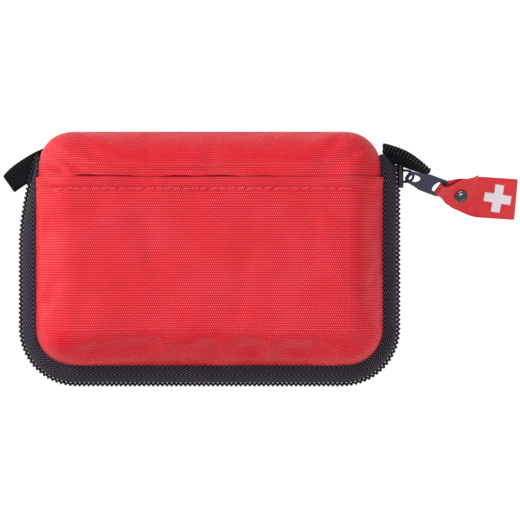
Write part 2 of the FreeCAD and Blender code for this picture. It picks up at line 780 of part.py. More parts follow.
bag("triangular_bandage", Vector(size("bandage_left"), size("bandage_low"), floor),
    "bandage_long", "bandage_wide", "bandage_high")
upper_floor = floor + size("bandage_high") + size("stack_gap")
glove_left = worked("panel_half_width - panel_corner + glove_out - glove_long")
glove_low = worked("-1 * panel_bottom + panel_corner - glove_out_low")
bag("glove_packet", Vector(glove_left, glove_low, upper_floor),
    "glove_long", "glove_wide", "glove_high")
spool = Vector(size("tape_roll_x"), size("tape_roll_y"), upper_floor)
ring_of("tape_roll", "tape_roll_radius", "core_radius + ply_gap", "tape_roll_high", spool)
ring_of("tape_core", "core_radius", "core_radius - core_wall", "tape_roll_high", spool)


def repeat(body, feature, axis_role, reach, count):
    """Repeat a feature in a row as separate solids of one node."""
    row = body.newObject("PartDesign::LinearPattern", body.Label + "_row")
    row.Originals = [feature]
    axis = [each for each in body.Origin.OriginFeatures if each.Role == axis_role][0]
    row.Direction = (axis, [""])
    row.setExpression("Length", bound(reach))
    row.setExpression("Occurrences", bound(count))
    body.Tip = row


body = new_body("safety_pins")
body.AllowCompound = True
pin = new_sketch(body, "XY_Plane")
pin_end = "pin_wide / 2"
draw_path(pin, [
    ("0", "0", pin_end + " - pin_wire / 4"), ("pin_long", "0", pin_end + " - pin_wire / 4"),
    ("pin_long", "pin_wide", pin_end + " - pin_wire / 4"), ("0", "pin_wide", pin_end + " - pin_wire / 4"),
])
draw_path(pin, [
    ("pin_wire", "pin_wire", "pin_wire"), ("pin_long - pin_wire", "pin_wire", "pin_wire"),
    ("pin_long - pin_wire", "pin_wide - pin_wire", "pin_wire"), ("pin_wire", "pin_wide - pin_wire", "pin_wire"),
])
wire = pad(body, pin, "pin_wire")
repeat(body, wire, "Y_Axis", "pin_pitch * ( pin_count - 1 )", "pin_count")
body.Placement = Placement(
    Vector(size("pin_x") - size("pin_long") / 2, size("pin_y"), upper_floor), Rotation())

# scissors and tweezers lie on top of the rest
top_floor = floor + 2 * size("roll_radius") + size("elastic") + size("stack_gap") / 2 + size("stack_gap")

body = new_body("tweezers")
legs = new_sketch(body, "XZ_Plane")
draw_polygon(legs, [
    ("-1 * tweezer_spread / 2", "0"),
    ("-1 * tweezer_spread / 2 + tweezer_leg", "0"),
    ("-1 * tweezer_leg / 2", "tweezer_long - 4 * tweezer_leg"),
    ("tweezer_leg / 2", "tweezer_long - 4 * tweezer_leg"),
    ("tweezer_spread / 2 - tweezer_leg", "0"),
    ("tweezer_spread / 2", "0"),
    ("tweezer_leg", "tweezer_long"),
    ("-1 * tweezer_leg", "tweezer_long"),
])
pad(body, legs, "tweezer_wide", middle=True)
body.Placement = Placement(
    Vector(size("tweezer_x"), size("tweezer_y"), top_floor + size("tweezer_wide") / 2),
    Rotation(Vector(1, 0, 0), -90))


def blade_outline(sketch, side):
    """A blade with its tang, seen flat; side mirrors it about the closing line."""
    half = "scissor_pin"
    draw_polygon(sketch, [
        ("blade_long", f"{-0.4 * side} * {half}"),
        ("blade_long * 0.8", f"{1.5 * side} * {half}"),
        (f"3 * {half}", f"{2.4 * side} * {half}"),
        (f"-2 * {half}", f"{1.8 * side} * {half}"),
        ("-1 * tang_long", f"{-side} * ( grip_apart + grip_rim )"),
        ("-1 * tang_long", f"{-side} * ( grip_apart + 2.4 * grip_rim )"),
        (f"-2.5 * {half}", f"{-2.3 * side} * {half}"),
        (f"2 * {half}", f"{-1.7 * side} * {half}"),
        (f"4 * {half}", f"{-0.5 * side} * {half}"),
    ])


def scissor_half(kind, side, layer):
    """One blade and its grip; the blades lie one over the other."""
    place = Vector(size("scissor_x"), size("scissor_y"), top_floor)
    blade_low = f"( grip_thick - 2 * blade_thick - blade_gap ) / 2 + {layer} * ( blade_thick + blade_gap )"
    body = new_body(f"scissors_blade_{kind}")
    sketch = new_sketch(body, "XY_Plane", blade_low)
    blade_outline(sketch, side)
    draw_circle(sketch, "0", "0", "scissor_pin + scissor_pin_clear")
    pad(body, sketch, "blade_thick")
    body.Placement = Placement(place, Rotation())
    body = new_body(f"scissors_grip_{kind}")
    sketch = new_sketch(body, "XY_Plane")
    near = f"{-side} * grip_apart"
    far = f"{-side} * ( grip_apart + grip_wide )"
    start = "-1 * tang_long - ply_gap"
    finish = "-1 * tang_long - ply_gap - grip_long"
    draw_path(sketch, [
        (start, near, "grip_wide / 2.2"), (finish, near, "grip_wide / 2.2"),
        (finish, far, "grip_wide / 2.2"), (start, far, "grip_wide / 2.2"),
    ])
    near_hole = f"{-side} * ( grip_apart + grip_rim )"
    far_hole = f"{-side} * ( grip_apart + grip_wide - grip_rim )"
    hole_round = "grip_wide / 2.2 - grip_rim"
    draw_path(sketch, [
        (f"{start} - grip_rim", near_hole, hole_round), (f"{finish} + grip_rim", near_hole, hole_round),
        (f"{finish} + grip_rim", far_hole, hole_round), (f"{start} - grip_rim", far_hole, hole_round),
    ])
    pad(body, sketch, "grip_thick")
    body.Placement = Placement(place, Rotation())


scissor_half("fixed", 1, 0)
scissor_half("moving", -1, 1)
body = new_body("scissors_rivet")
shaft = new_sketch(body, "XY_Plane", "( grip_thick - 2 * blade_thick - blade_gap ) / 2 - scissor_pin_head")
draw_circle(shaft, "0", "0", "scissor_pin")
pad(body, shaft, "2 * blade_thick + blade_gap + 2 * scissor_pin_head")
body.Placement = Placement(Vector(size("scissor_x"), size("scissor_y"), top_floor), Rotation())

# the front half's mesh pocket and the flat packets in it

# the lining's wall already leans in at the mesh's height
lean_round = "( panel_round - fabric - lining - ply_gap )"
lean_rise = "( mesh_height + mesh_hem_thick - front_depth + panel_round )"
lean = f"( {lean_round} - sqrt( {lean_round} ^ 2 - {lean_rise} ^ 2 ) )"
mesh_inset = f"( fabric + lining + ply_gap + mesh_clear + {lean} )"
mesh_half = f"panel_half_width - {mesh_inset}"
mesh_low = f"-1 * panel_bottom + {mesh_inset}"
mesh_corner = f"panel_corner - {mesh_inset}"
body = new_body("mesh_pocket")
net = new_sketch(body, "XY_Plane", f"{ZIP_PLANE} + mesh_height")
draw_path(net, [
    (f"-1 * ( {mesh_half} )", mesh_low, mesh_corner), (mesh_half, mesh_low, mesh_corner),
    (mesh_half, "mesh_mouth", ""), (f"-1 * ( {mesh_half} )", "mesh_mouth", ""),
])
pad(body, net, "mesh_thick")
body = new_body("mesh_pocket_hem")
hem = new_sketch(body, "XY_Plane", f"{ZIP_PLANE} + mesh_height + mesh_thick / 2 - mesh_hem_thick / 2")
draw_polygon(hem, [
    (f"-1 * ( {mesh_half} )", "mesh_mouth + ply_gap"), (mesh_half, "mesh_mouth + ply_gap"),
    (mesh_half, "mesh_mouth + mesh_hem_wide"), (f"-1 * ( {mesh_half} )", "mesh_mouth + mesh_hem_wide"),
])
pad(body, hem, "mesh_hem_thick")

shelf = worked(ZIP_PLANE) + size("mesh_height") + size("mesh_thick") + size("packet_gap")
left = size("packet_left")
low = size("packet_low")
above = low + size("sachet_wide") + size("packet_space")
stacks = (
    ("plaster_strips", Vector(left, above, shelf), "plaster_long", "plaster_wide", "plaster_thick",
     "plaster_count"),
    ("wipe_sachets", Vector(left, low, shelf), "sachet_long", "sachet_wide", "sachet_thick",
     "sachet_count"),
)
for label, place, long, wide, thick, count in stacks:
    body = bag(label, place, long, wide, thick, rounding="ply_gap * 5")
    body.AllowCompound = True
    repeat(body, body.Tip, "Z_Axis", f"( {thick} + packet_gap ) * ( {count} - 1 )", count)
bag("compress_packet", Vector(left + size("sachet_long") + size("packet_space"), low, shelf),
    "compress_long", "sachet_wide", "compress_high")

doc.recompute()

for each in doc.Objects:
    if "Invalid" in each.State or "Error" in each.State:
        raise RuntimeError(f"{each.Name} ({each.Label}) failed: {each.State}")
for label, piece in pieces.items():
    if piece.Shape.isNull() or not piece.Shape.isValid():
        raise RuntimeError(f"{label} has no valid shape")

os.makedirs("parts", exist_ok=True)
for label, piece in pieces.items():
    piece.Shape.exportStep(f"parts/{label}.step")
    box = piece.Shape.BoundBox
    print(f"{label:24s} {len(piece.Shape.Solids)} solid(s) {piece.Shape.Volume:10.1f} mm3  "
          f"x {box.XMin:6.1f} {box.XMax:6.1f}  y {box.YMin:6.1f} {box.YMax:6.1f}  "
          f"z {box.ZMin:6.1f} {box.ZMax:6.1f}")

pull_axis = pull_turn.multVec(Vector(0, 1, 0))
print("cover hinge axis at y", worked("spine_line + hinge_clear"), "z", worked(ZIP_PLANE))
print("puller pivot", pull_pivot)
print("ribbon pivot", ribbon_base, "axis", pull_axis)
print("scissors pivot", size("scissor_x"), size("scissor_y"), top_floor)
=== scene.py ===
# %% [markdown]
# # A small first aid pouch
#
# The pouch is a soft red nylon case. A black coil zip runs round three of its sides, and the
# fourth side is a spine that the cover folds about. The CAD frame already holds every piece at
# its true size and place, so this lesson dresses that frame: each cell makes one piece or one
# finish around it. Lengths are written in millimetres and turned into metres as meshes are made.

# %% Load the frame
import json
import math

import bpy
import numpy as np
from mathutils import Matrix, Vector


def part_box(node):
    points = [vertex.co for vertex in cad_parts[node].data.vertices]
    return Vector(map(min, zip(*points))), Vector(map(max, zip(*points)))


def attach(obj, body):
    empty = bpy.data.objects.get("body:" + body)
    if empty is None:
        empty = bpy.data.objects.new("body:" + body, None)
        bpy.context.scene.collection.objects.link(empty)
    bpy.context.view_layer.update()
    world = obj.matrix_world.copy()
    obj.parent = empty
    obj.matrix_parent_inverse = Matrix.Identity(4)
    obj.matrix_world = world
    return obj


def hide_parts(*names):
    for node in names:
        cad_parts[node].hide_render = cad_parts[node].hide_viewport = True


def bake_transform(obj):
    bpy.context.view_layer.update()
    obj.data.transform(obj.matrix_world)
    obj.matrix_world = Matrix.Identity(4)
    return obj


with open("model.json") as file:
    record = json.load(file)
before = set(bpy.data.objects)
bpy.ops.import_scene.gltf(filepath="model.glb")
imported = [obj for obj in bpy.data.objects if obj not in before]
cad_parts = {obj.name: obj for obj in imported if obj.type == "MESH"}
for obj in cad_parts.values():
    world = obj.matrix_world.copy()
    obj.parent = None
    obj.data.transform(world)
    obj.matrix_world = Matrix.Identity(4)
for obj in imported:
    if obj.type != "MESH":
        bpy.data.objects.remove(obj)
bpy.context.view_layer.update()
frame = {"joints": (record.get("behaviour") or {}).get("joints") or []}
MM = 0.001

# %% [markdown]
# Every place comes from the frame. This helper gives a node's box in millimetres, and a few
# numbers that the whole pouch shares are read off once: the zip's plane, the panel's outline
# and how far out the coil runs.

# %% Measure the frame
def box(node):
    """Lowest and highest corner of a CAD node, in millimetres."""
    low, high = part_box(node)
    return np.array(low) / MM, np.array(high) / MM


shell_low, shell_high = box("front_shell")
back_low, back_high = box("back_shell")
ZIP = (shell_low[2] + back_high[2]) / 2
HALF = shell_high[0]
BOTTOM = shell_low[1]
SPINE = shell_high[1]
FRONT = shell_high[2]
BACK = back_low[2]
CORNER = 12.5
ROUND = 11.5
SEAM = ZIP + 7.4
SPINE_FROM = 38.2
ZIP_TOP = box("zip_tape_front")[1][1]
COIL_OUT = -box("zip_coil_front")[0][0]
COIL_LOW = box("zip_coil_front")[0][1]
TAPE_OUT = box("zip_tape_front")[1][0]
TAPE_LOW = box("zip_tape_front")[0][1]
MOUTH = box("slip_pocket")[1][1]
joints = {joint["name"]: joint for joint in frame["joints"]}
print("zip plane", round(ZIP, 2), "panel half width", round(HALF, 2), "mouth", round(MOUTH, 2))

# %% [markdown]
# ## Shader maths as Python
#
# A finish is a tree of nodes. Writing `(1 - thread) * 0.4` reads better than five calls, so a
# small class wraps one socket and turns each operator into a Math node. A second class holds a
# material and makes every other node: the type, the settings first, then what feeds it.

# %% A socket that takes part in sums
class Sock:
    """One shader output that can stand in an expression."""

    def __init__(self, finish, socket):
        self.finish = finish
        self.socket = socket

    def maths(self, operation, *others):
        return self.finish.node("ShaderNodeMath", {"operation": operation}, (self,) + others)

    def turned(self, operation, other):
        return self.finish.node("ShaderNodeMath", {"operation": operation}, (other, self))

    def __add__(self, other):
        return self.maths("ADD", other)

    def __sub__(self, other):
        return self.maths("SUBTRACT", other)

    def __rsub__(self, other):
        return self.turned("SUBTRACT", other)

    def __mul__(self, other):
        return self.maths("MULTIPLY", other)

    def __truediv__(self, other):
        return self.maths("DIVIDE", other)

    def __rtruediv__(self, other):
        return self.turned("DIVIDE", other)

    def __pow__(self, other):
        return self.maths("POWER", other)

    __radd__ = __add__
    __rmul__ = __mul__

    def wave(self, pitch):
        """From 0 to 1 and back over each pitch."""
        return (self * (2 * math.pi / pitch)).maths("SINE") * 0.5 + 0.5

    def within(self, low, high):
        """0 below low, 1 above high, smooth between."""
        settings = {"interpolation_type": "SMOOTHSTEP"}
        return self.finish.node("ShaderNodeMapRange", settings, (self, low, high, 0.0, 1.0))


def srgb(red, green, blue):
    """A colour as people write it, 0 to 255, as the linear light that shaders use."""
    light = []
    for part in (red, green, blue):
        part = part / 255
        light.append(part / 12.92 if part <= 0.04045 else ((part + 0.055) / 1.055) ** 2.4)
    return (*light, 1.0)


# %% A material and its nodes
class Finish:
    """A Principled material; plain numbers are set straight on its sockets."""

    def __init__(self, name, **plain):
        self.material = bpy.data.materials.new(name)
        self.material.use_nodes = True
        self.tree = self.material.node_tree
        self.skin = self.tree.nodes["Principled BSDF"]
        for words, value in plain.items():
            self.skin.inputs[words.replace("_", " ")].default_value = value

    def plug(self, socket, value):
        if isinstance(value, Sock):
            self.tree.links.new(value.socket, socket)
        else:
            socket.default_value = value

    def node(self, kind, settings=(), feeds=(), out=0):
        made = self.tree.nodes.new(kind)
        for word, value in dict(settings).items():
            if word == "stops":
                for stop, (place, colour) in zip(made.color_ramp.elements, value):
                    stop.position, stop.color = place, colour
            else:
                setattr(made, word, value)
        pairs = feeds.items() if isinstance(feeds, dict) else enumerate(feeds)
        for where, value in pairs:
            self.plug(made.inputs[where], value)
        return Sock(self, made.outputs[out])

    def mix(self, first, second, share):
        feeds = {0: share, 6: first, 7: second}
        return self.node("ShaderNodeMix", {"data_type": "RGBA"}, feeds, 2)

    def cloth(self):
        """Place on the cloth in millimetres, along and across its threads."""
        place = self.node("ShaderNodeAttribute", {"attribute_name": "cloth"}, out="Vector")
        along = self.node("ShaderNodeSeparateXYZ", (), (place,), 0)
        across = Sock(self, along.socket.node.outputs[1])
        return place, along, across

    def spot(self):
        """Place on the piece itself, in metres, which moves with it."""
        return self.node("ShaderNodeTexCoord", out="Object")

    def noise(self, place, scale, detail=3.0, rough=0.55):
        feeds = {"Vector": place, "Scale": scale, "Detail": detail, "Roughness": rough}
        return self.node("ShaderNodeTexNoise", (), feeds, 0)

    def bump(self, height, depth, under=None):
        feeds = {"Strength": 1.0, "Distance": depth * MM, "Height": height}
        if under is not None:
            feeds["Normal"] = under
        return self.node("ShaderNodeBump", (), feeds)

    def dress(self, colour=None, roughness=None, normal=None, alpha=None):
        """Link what varies over the surface to the shader."""
        sockets = {"Base Color": colour, "Roughness": roughness, "Normal": normal, "Alpha": alpha}
        for name, value in sockets.items():
            if value is not None:
                self.plug(self.skin.inputs[name], value)
        print("finish", self.material.name, "with", len(self.tree.nodes), "nodes")
        return self.material


# %% [markdown]
# ## Red nylon
#
# The case is plain-woven nylon with a light coating. Up close each thread crossing is a small
# crown, and every second row is shifted by half a crossing, like bricks. The crowns are 0.75 mm
# apart along a row and the rows are 0.92 mm apart. Their tops are painted a paler red as the
# glint they catch, so the pale dots are painted highlight. A picture could give this too, but
# drawn from the cloth's own millimetres it keeps its scale on every piece and at every fold.

# %% Plain weave
CROWN_ALONG = 0.745
CROWN_ACROSS = 0.92


def plain_weave(name, deep, mid, crown_glint, crown_along=CROWN_ALONG, crown_across=CROWN_ACROSS,
                depth=0.1, **plain):
    """Brick-laid thread crowns; a painted glint on their tops and their gloss change slowly over
    the cloth.
    """
    finish = Finish(name, **plain)
    place, along, across = finish.cloth()
    row = across / crown_across
    shift = row.maths("FLOOR").maths("MODULO", 2.0).maths("ABSOLUTE") * 0.5
    off_along = ((along / crown_along + shift).maths("FRACT") - 0.5).maths("ABSOLUTE") * 2
    off_across = (row.maths("FRACT") - 0.5).maths("ABSOLUTE") * 2
    crown = (1 - off_along ** 2) * (1 - off_across ** 2)
    slow = finish.noise(place, 0.045, 2.0)
    uneven = finish.noise(place, 1.1, 2.0)
    body = finish.mix(deep, mid, crown.within(0.0, 0.6))
    # Painted glint: the crowns' tops are mixed towards the paler glint colour, more where the slow
    # noise is high.
    lit = crown.within(0.35, 1.0) * (slow.within(0.3, 0.7) * 0.35 + 0.2) * (uneven * 0.6 + 0.7)
    colour = finish.mix(body, crown_glint, lit)
    roughness = 0.52 - crown * 0.14 + (slow - 0.5) * 0.12
    return finish.dress(colour, roughness, finish.bump(crown, depth))


red_nylon = plain_weave(
    "red_nylon", srgb(186, 4, 20), srgb(232, 12, 36), srgb(250, 100, 114),
    Specular_IOR_Level=0.3)
# Dark red for the strip behind the pocket's mouth: a painted shadow in the gap under its lip.
mouth_shadow_red = plain_weave("mouth_shadow_red", srgb(96, 3, 14), srgb(132, 8, 24), srgb(150, 16, 34),
                         Specular_IOR_Level=0.2)
lining_cloth = plain_weave(
    "lining_cloth", srgb(118, 16, 26), srgb(168, 34, 44), srgb(196, 84, 90),
    crown_along=0.4, crown_across=0.4, depth=0.05, Sheen_Weight=0.1)

# %% [markdown]
# ## Black zip tape and coil
#
# Zip tape is woven as a herringbone: fine diagonal ribs that change direction from one band to
# the next. The coil is a nylon wire, smooth and a little shiny, and the slider is die-cast
# metal under black enamel.

# %% Herringbone tape
def herringbone(name, dark, light, pitch=1.7, band=5.0, depth=0.22, **plain):
    """Diagonal ribs that turn at each band's edge."""
    finish = Finish(name, **plain)
    place, along, across = finish.cloth()
    zigzag = ((across / band).maths("FRACT") - 0.5).maths("ABSOLUTE") * band * 2
    rib = (along + zigzag * 0.9).wave(pitch)
    cross = across.wave(0.42)
    fluff = finish.noise(place, 2.4, 3.0)
    slow = finish.noise(place, 0.09, 2.0)
    share = rib ** 1.6 * (cross * 0.3 + 0.7) * (fluff * 0.8 + 0.4) * (slow * 0.6 + 0.7)
    colour = finish.mix(dark, light, share)
    height = rib * 0.8 + fluff * 0.5
    return finish.dress(colour, 0.85 - share * 0.2, finish.bump(height, depth))


black_tape = herringbone("black_tape", srgb(5, 4, 7), srgb(92, 82, 98), Sheen_Weight=0.02,
                         Specular_IOR_Level=0.2)
tab_tape = herringbone("tab_tape", srgb(3, 2, 4), srgb(40, 33, 43), Specular_IOR_Level=0.15)
binding_tape = herringbone(
    "binding_tape", srgb(18, 17, 20), srgb(58, 55, 62), pitch=0.6, band=1.2, Sheen_Weight=0.2)


# %% Wire, enamel, plated metal and steel
def speckled(name, dark, light, grain, depth, rough=(0.3, 0.5), stretch=(1, 1, 1), **plain):
    """A smooth finish with fine grain in its colour, gloss and relief."""
    finish = Finish(name, **plain)
    feeds = {"Vector": finish.spot(), "Scale": stretch}
    place = finish.node("ShaderNodeMapping", {"vector_type": "POINT"}, feeds)
    fine = finish.noise(place, 1000 / grain, 4.0)
    slow = finish.noise(place, 60.0, 2.0)
    colour = finish.mix(dark, light, fine * 0.6 + slow * 0.4)
    low, high = rough
    return finish.dress(colour, fine * (high - low) + low, finish.bump(fine, depth))


coil_nylon = speckled("coil_nylon", srgb(12, 11, 15), srgb(44, 41, 50), 0.5, 0.02,
                      Specular_IOR_Level=0.4)
black_enamel = speckled("black_enamel", srgb(4, 4, 6), srgb(14, 13, 18), 0.7, 0.02,
                        rough=(0.45, 0.62), Specular_IOR_Level=0.35)
gunmetal = speckled("gunmetal", srgb(56, 55, 78), srgb(84, 83, 108), 0.25, 0.015,
                    rough=(0.34, 0.55), stretch=(0.25, 1, 1), Metallic=0.55)
rivet_metal = speckled("rivet_metal", srgb(92, 86, 96), srgb(150, 144, 152), 0.4, 0.02,
                       rough=(0.16, 0.32), Metallic=0.9)
steel = speckled("steel", srgb(150, 152, 158), srgb(205, 207, 210), 0.2, 0.008,
                 rough=(0.18, 0.36), stretch=(0.2, 1, 1), Metallic=1.0)
grip_plastic = speckled("grip_plastic", srgb(14, 14, 16), srgb(38, 38, 42), 0.35, 0.03,
                        rough=(0.42, 0.6))
spool_plastic = speckled("spool_plastic", srgb(222, 222, 220), srgb(243, 243, 241), 0.6, 0.02,
                         rough=(0.4, 0.55))


# %% Satin ribbon and its print
def ribbed_satin(name, dark, light, pitch=0.32, depth=0.05, **plain):
    """Fine ribs across the ribbon, with a denser woven edge on both sides."""
    finish = Finish(name, **plain)
    place, along, across = finish.cloth()
    rib = along.wave(pitch)
    warp = across.wave(0.21)
    uneven = finish.noise(place, 0.7, 3.0)
    edge = across.maths("ABSOLUTE").within(6.3, 7.0)
    share = (rib * 0.5 + warp * 0.2 + uneven * 0.5) * (1 - edge * 0.45)
    colour = finish.mix(dark, light, share)
    return finish.dress(colour, 0.5 - share * 0.12, finish.bump(rib + warp * 0.4, depth))


ribbon_satin = ribbed_satin("ribbon_satin", srgb(212, 14, 28), srgb(252, 50, 60),
                            Sheen_Weight=0.2, Specular_IOR_Level=0.45)
ribbon_print = ribbed_satin("ribbon_print", srgb(232, 218, 226), srgb(254, 246, 250),
                            depth=0.03, Specular_IOR_Level=0.3)
red_thread = ribbed_satin("red_thread", srgb(214, 30, 46), srgb(250, 112, 122), pitch=0.4)

# %% [markdown]
# ## Helpers that make a piece
#
# Each piece is a mesh made from rows of points. One helper turns points in millimetres into an
# object, keeps the place on the cloth with every point, gives thin cloth its thickness and
# smooths it, hangs it on the body that carries it and hides the CAD nodes that it stands for.

# %% Make one piece
def settle(obj):
    """Apply the object's modifiers."""
    evaluated = obj.evaluated_get(bpy.context.evaluated_depsgraph_get())
    mesh = bpy.data.meshes.new_from_object(evaluated)
    obj.modifiers.clear()
    obj.data = mesh


def raw_piece(name, points, faces, finish, cloth=None):
    """An object from points in millimetres."""
    mesh = bpy.data.meshes.new(name)
    mesh.from_pydata((np.asarray(points, float) * MM).tolist(), [], faces)
    if cloth is not None:
        places = mesh.attributes.new("cloth", "FLOAT_VECTOR", "POINT")
        flat = np.zeros((len(points), 3), np.float32)
        flat[:, :2] = cloth
        places.data.foreach_set("vector", flat.ravel())
    mesh.materials.append(finish)
    obj = bpy.data.objects.new(name, mesh)
    bpy.context.scene.collection.objects.link(obj)
    return obj


def piece(name, points, faces, finish, body, stands_for=(), cloth=None,
          thick=0.0, side=-1.0, level=0, bevel=0.0):
    """A finished piece that rides on a body."""
    obj = raw_piece(name, points, faces, finish, cloth)
    if thick:
        shell = obj.modifiers.new("thickness", "SOLIDIFY")
        shell.thickness = thick * MM
        shell.offset = side
    if bevel:
        edge = obj.modifiers.new("edges", "BEVEL")
        edge.width = bevel * MM
        edge.segments = 2
        edge.limit_method = "ANGLE"
    if level:
        smooth = obj.modifiers.new("smooth", "SUBSURF")
        smooth.levels = smooth.render_levels = level
    if thick or level or bevel:
        settle(obj)
    for polygon in obj.data.polygons:
        polygon.use_smooth = True
    if isinstance(body, str):
        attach(obj, body)
    if stands_for:
        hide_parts(*stands_for)
    print("piece", name, len(obj.data.vertices), "points")
    return obj


def grid_faces(rows, columns, first=0, round_rows=False, round_columns=False):
    """Quads between rows of points, each row after the last one."""
    faces = []
    for row in range(rows if round_rows else rows - 1):
        under = first + row * columns
        over = first + (row + 1) % rows * columns
        for column in range(columns if round_columns else columns - 1):
            beside = (column + 1) % columns
            faces.append((under + column, under + beside, over + beside, over + column))
    return faces


def joined(parts):
    """Several (points, faces, cloth) lists as one."""
    points, faces, cloth = [], [], []
    for part_points, part_faces, part_cloth in parts:
        start = len(points)
        points.extend(part_points)
        cloth.extend(part_cloth)
        faces.extend(tuple(start + corner for corner in face) for face in part_faces)
    return points, faces, np.array(cloth)


def tube(path, radius, sides=6, flat=1.0, up=(0, 0, 1)):
    """A round wire along a path; flat squeezes it along its second axis."""
    path = np.asarray(path, float)
    count = len(path)
    ahead = np.roll(path, -1, 0) - np.roll(path, 1, 0)
    ahead[0] = path[1] - path[0]
    ahead[-1] = path[-1] - path[-2]
    ahead /= np.linalg.norm(ahead, axis=1)[:, None]
    side = np.cross(ahead, np.asarray(up, float))
    side /= np.maximum(np.linalg.norm(side, axis=1), 1e-6)[:, None]
    above = np.cross(side, ahead)
    run = np.concatenate([[0], np.cumsum(np.linalg.norm(np.diff(path, axis=0), axis=1))])
    points, cloth = [], []
    for step in range(count):
        for turn in range(sides):
            angle = 2 * math.pi * turn / sides
            out = side[step] * math.cos(angle) + above[step] * math.sin(angle) * flat
            points.append(path[step] + out * radius)
            cloth.append((run[step], angle * radius))
    faces = grid_faces(count, sides, 0, False, True)
    faces.append(tuple(range(sides)))
    faces.append(tuple(range((count - 1) * sides, count * sides))[::-1])
    return points, faces, cloth


def closed_slab(top, bottom, rows, columns):
    """Two grids of points, and the faces that join them round their rims."""
    layer = rows * columns
    faces = grid_faces(rows, columns) + [face[::-1] for face in grid_faces(rows, columns, layer)]
    ring = [row * columns for row in range(rows)]
    ring += [(rows - 1) * columns + column for column in range(1, columns)]
    ring += [row * columns + columns - 1 for row in reversed(range(rows - 1))]
    ring += list(reversed(range(1, columns - 1)))
    for here, there in zip(ring, ring[1:] + ring[:1]):
        faces.append((here, there, there + layer, here + layer))
    return list(top) + list(bottom), faces


def smooth_step(value):
    """0 below 0 and 1 above 1, with a soft S between."""
    value = np.clip(value, 0, 1)
    return value * value * (3 - 2 * value)


# %% [markdown]
# ## The case's cloth
#
# Front panel, spine and back panel of the real case are one length of nylon. The zip tape is
# sewn to its edge on three sides, and over the spine it runs on from front to back. It could be
# sculpted from a rounded box, but then its weave would have no direction. So the sheet is laid
# out as a tailor would: a flat middle on a grid of threads, then columns that run from the
# grid's edge over the soft round side down to the seam. The length walked along each column is
# kept as the place on the cloth.

# %% Lay out a panel
INNER = HALF - CORNER
LOW_ROW = BOTTOM + CORNER
HIGH_ROW = SPINE - CORNER
STITCH_ROW = MOUTH - 4.3
XS = np.linspace(-INNER, INNER, 57)
YS = np.concatenate([
    np.linspace(LOW_ROW, STITCH_ROW - 2.2, 26),
    STITCH_ROW + np.array([-1.2, -0.5, 0.0, 0.5, 1.3, 2.5, 3.5]), [MOUTH],
    np.linspace(MOUTH, HIGH_ROW, 4)[1:]])
FAN = 8
ARC = 9


def columns():
    """Where each column starts on the grid's edge, which way it runs, and its grid point."""
    made = []
    for i, x in enumerate(XS):
        made.append((x, YS[0], 0, -1, i, 0))
    sides = ((270, XS[-1], YS[0], len(XS) - 1, 0), (0, XS[-1], YS[-1], len(XS) - 1, len(YS) - 1),
             (90, XS[0], YS[-1], 0, len(YS) - 1), (180, XS[0], YS[0], 0, 0))
    runs = ([(XS[-1], y, 1, 0, len(XS) - 1, j) for j, y in enumerate(YS)],
            [(x, YS[-1], 0, 1, i, len(YS) - 1) for i, x in reversed(list(enumerate(XS)))],
            [(XS[0], y, -1, 0, 0, j) for j, y in reversed(list(enumerate(YS)))],
            [])
    for (start, x, y, i, j), run in zip(sides, runs):
        for step in range(1, FAN):
            angle = math.radians(start + 90 * step / FAN)
            made.append((x, y, math.cos(angle), math.sin(angle), i, j))
        made.extend(run)
    return made


COLUMNS = columns()
BASE = np.array([entry[:2] for entry in COLUMNS])
AWAY = np.array([entry[2:4] for entry in COLUMNS])
EDGE_Y = BASE[:, 1] + AWAY[:, 1] * CORNER
print(len(COLUMNS), "columns round", len(XS), "by", len(YS), "threads")


def section(lift, depth):
    """Reach, drop and length walked, from the grid's edge down to the seam."""
    reach, drop = [1.0], [-lift]
    for step in range(1, ARC + 1):
        angle = math.radians(90 * step / ARC)
        reach.append(1.0 + (ROUND + lift) * math.sin(angle))
        drop.append(-lift + (ROUND + lift) * (1 - math.cos(angle)))
    reach.append(reach[-1])
    drop.append(depth)
    reach, drop = np.array(reach), np.array(drop)
    steps = np.hypot(np.diff(np.append([0.0], reach)), np.diff(np.append([-lift], drop)))
    lean = np.radians(np.minimum(90.0, 90.0 * np.arange(len(reach)) / ARC))
    return reach, drop, np.cumsum(steps), lean


def half_case(lift, depth, face_z, side):
    """Points, normals and cloth places of one half: its grid, then each ring of columns."""
    reach, drop, walked, lean = section(lift, depth)
    gx, gy = np.meshgrid(XS, YS, indexing="ij")
    grid = np.stack([gx.ravel(), gy.ravel(), np.full(gx.size, face_z + side * lift)], 1)
    points, normals = [grid], [np.tile([0.0, 0.0, side], (len(grid), 1))]
    cloth = [grid[:, :2]]
    for ring in range(len(reach)):
        flat = BASE + AWAY * reach[ring]
        height = np.full((len(flat), 1), face_z - side * drop[ring])
        points.append(np.hstack([flat, height]))
        tilt = np.hstack([AWAY * math.sin(lean[ring]),
                          np.full((len(flat), 1), side * math.cos(lean[ring]))])
        normals.append(tilt)
        cloth.append(BASE + AWAY * walked[ring])
    return np.vstack(points), np.vstack(normals), np.vstack(cloth), len(reach)


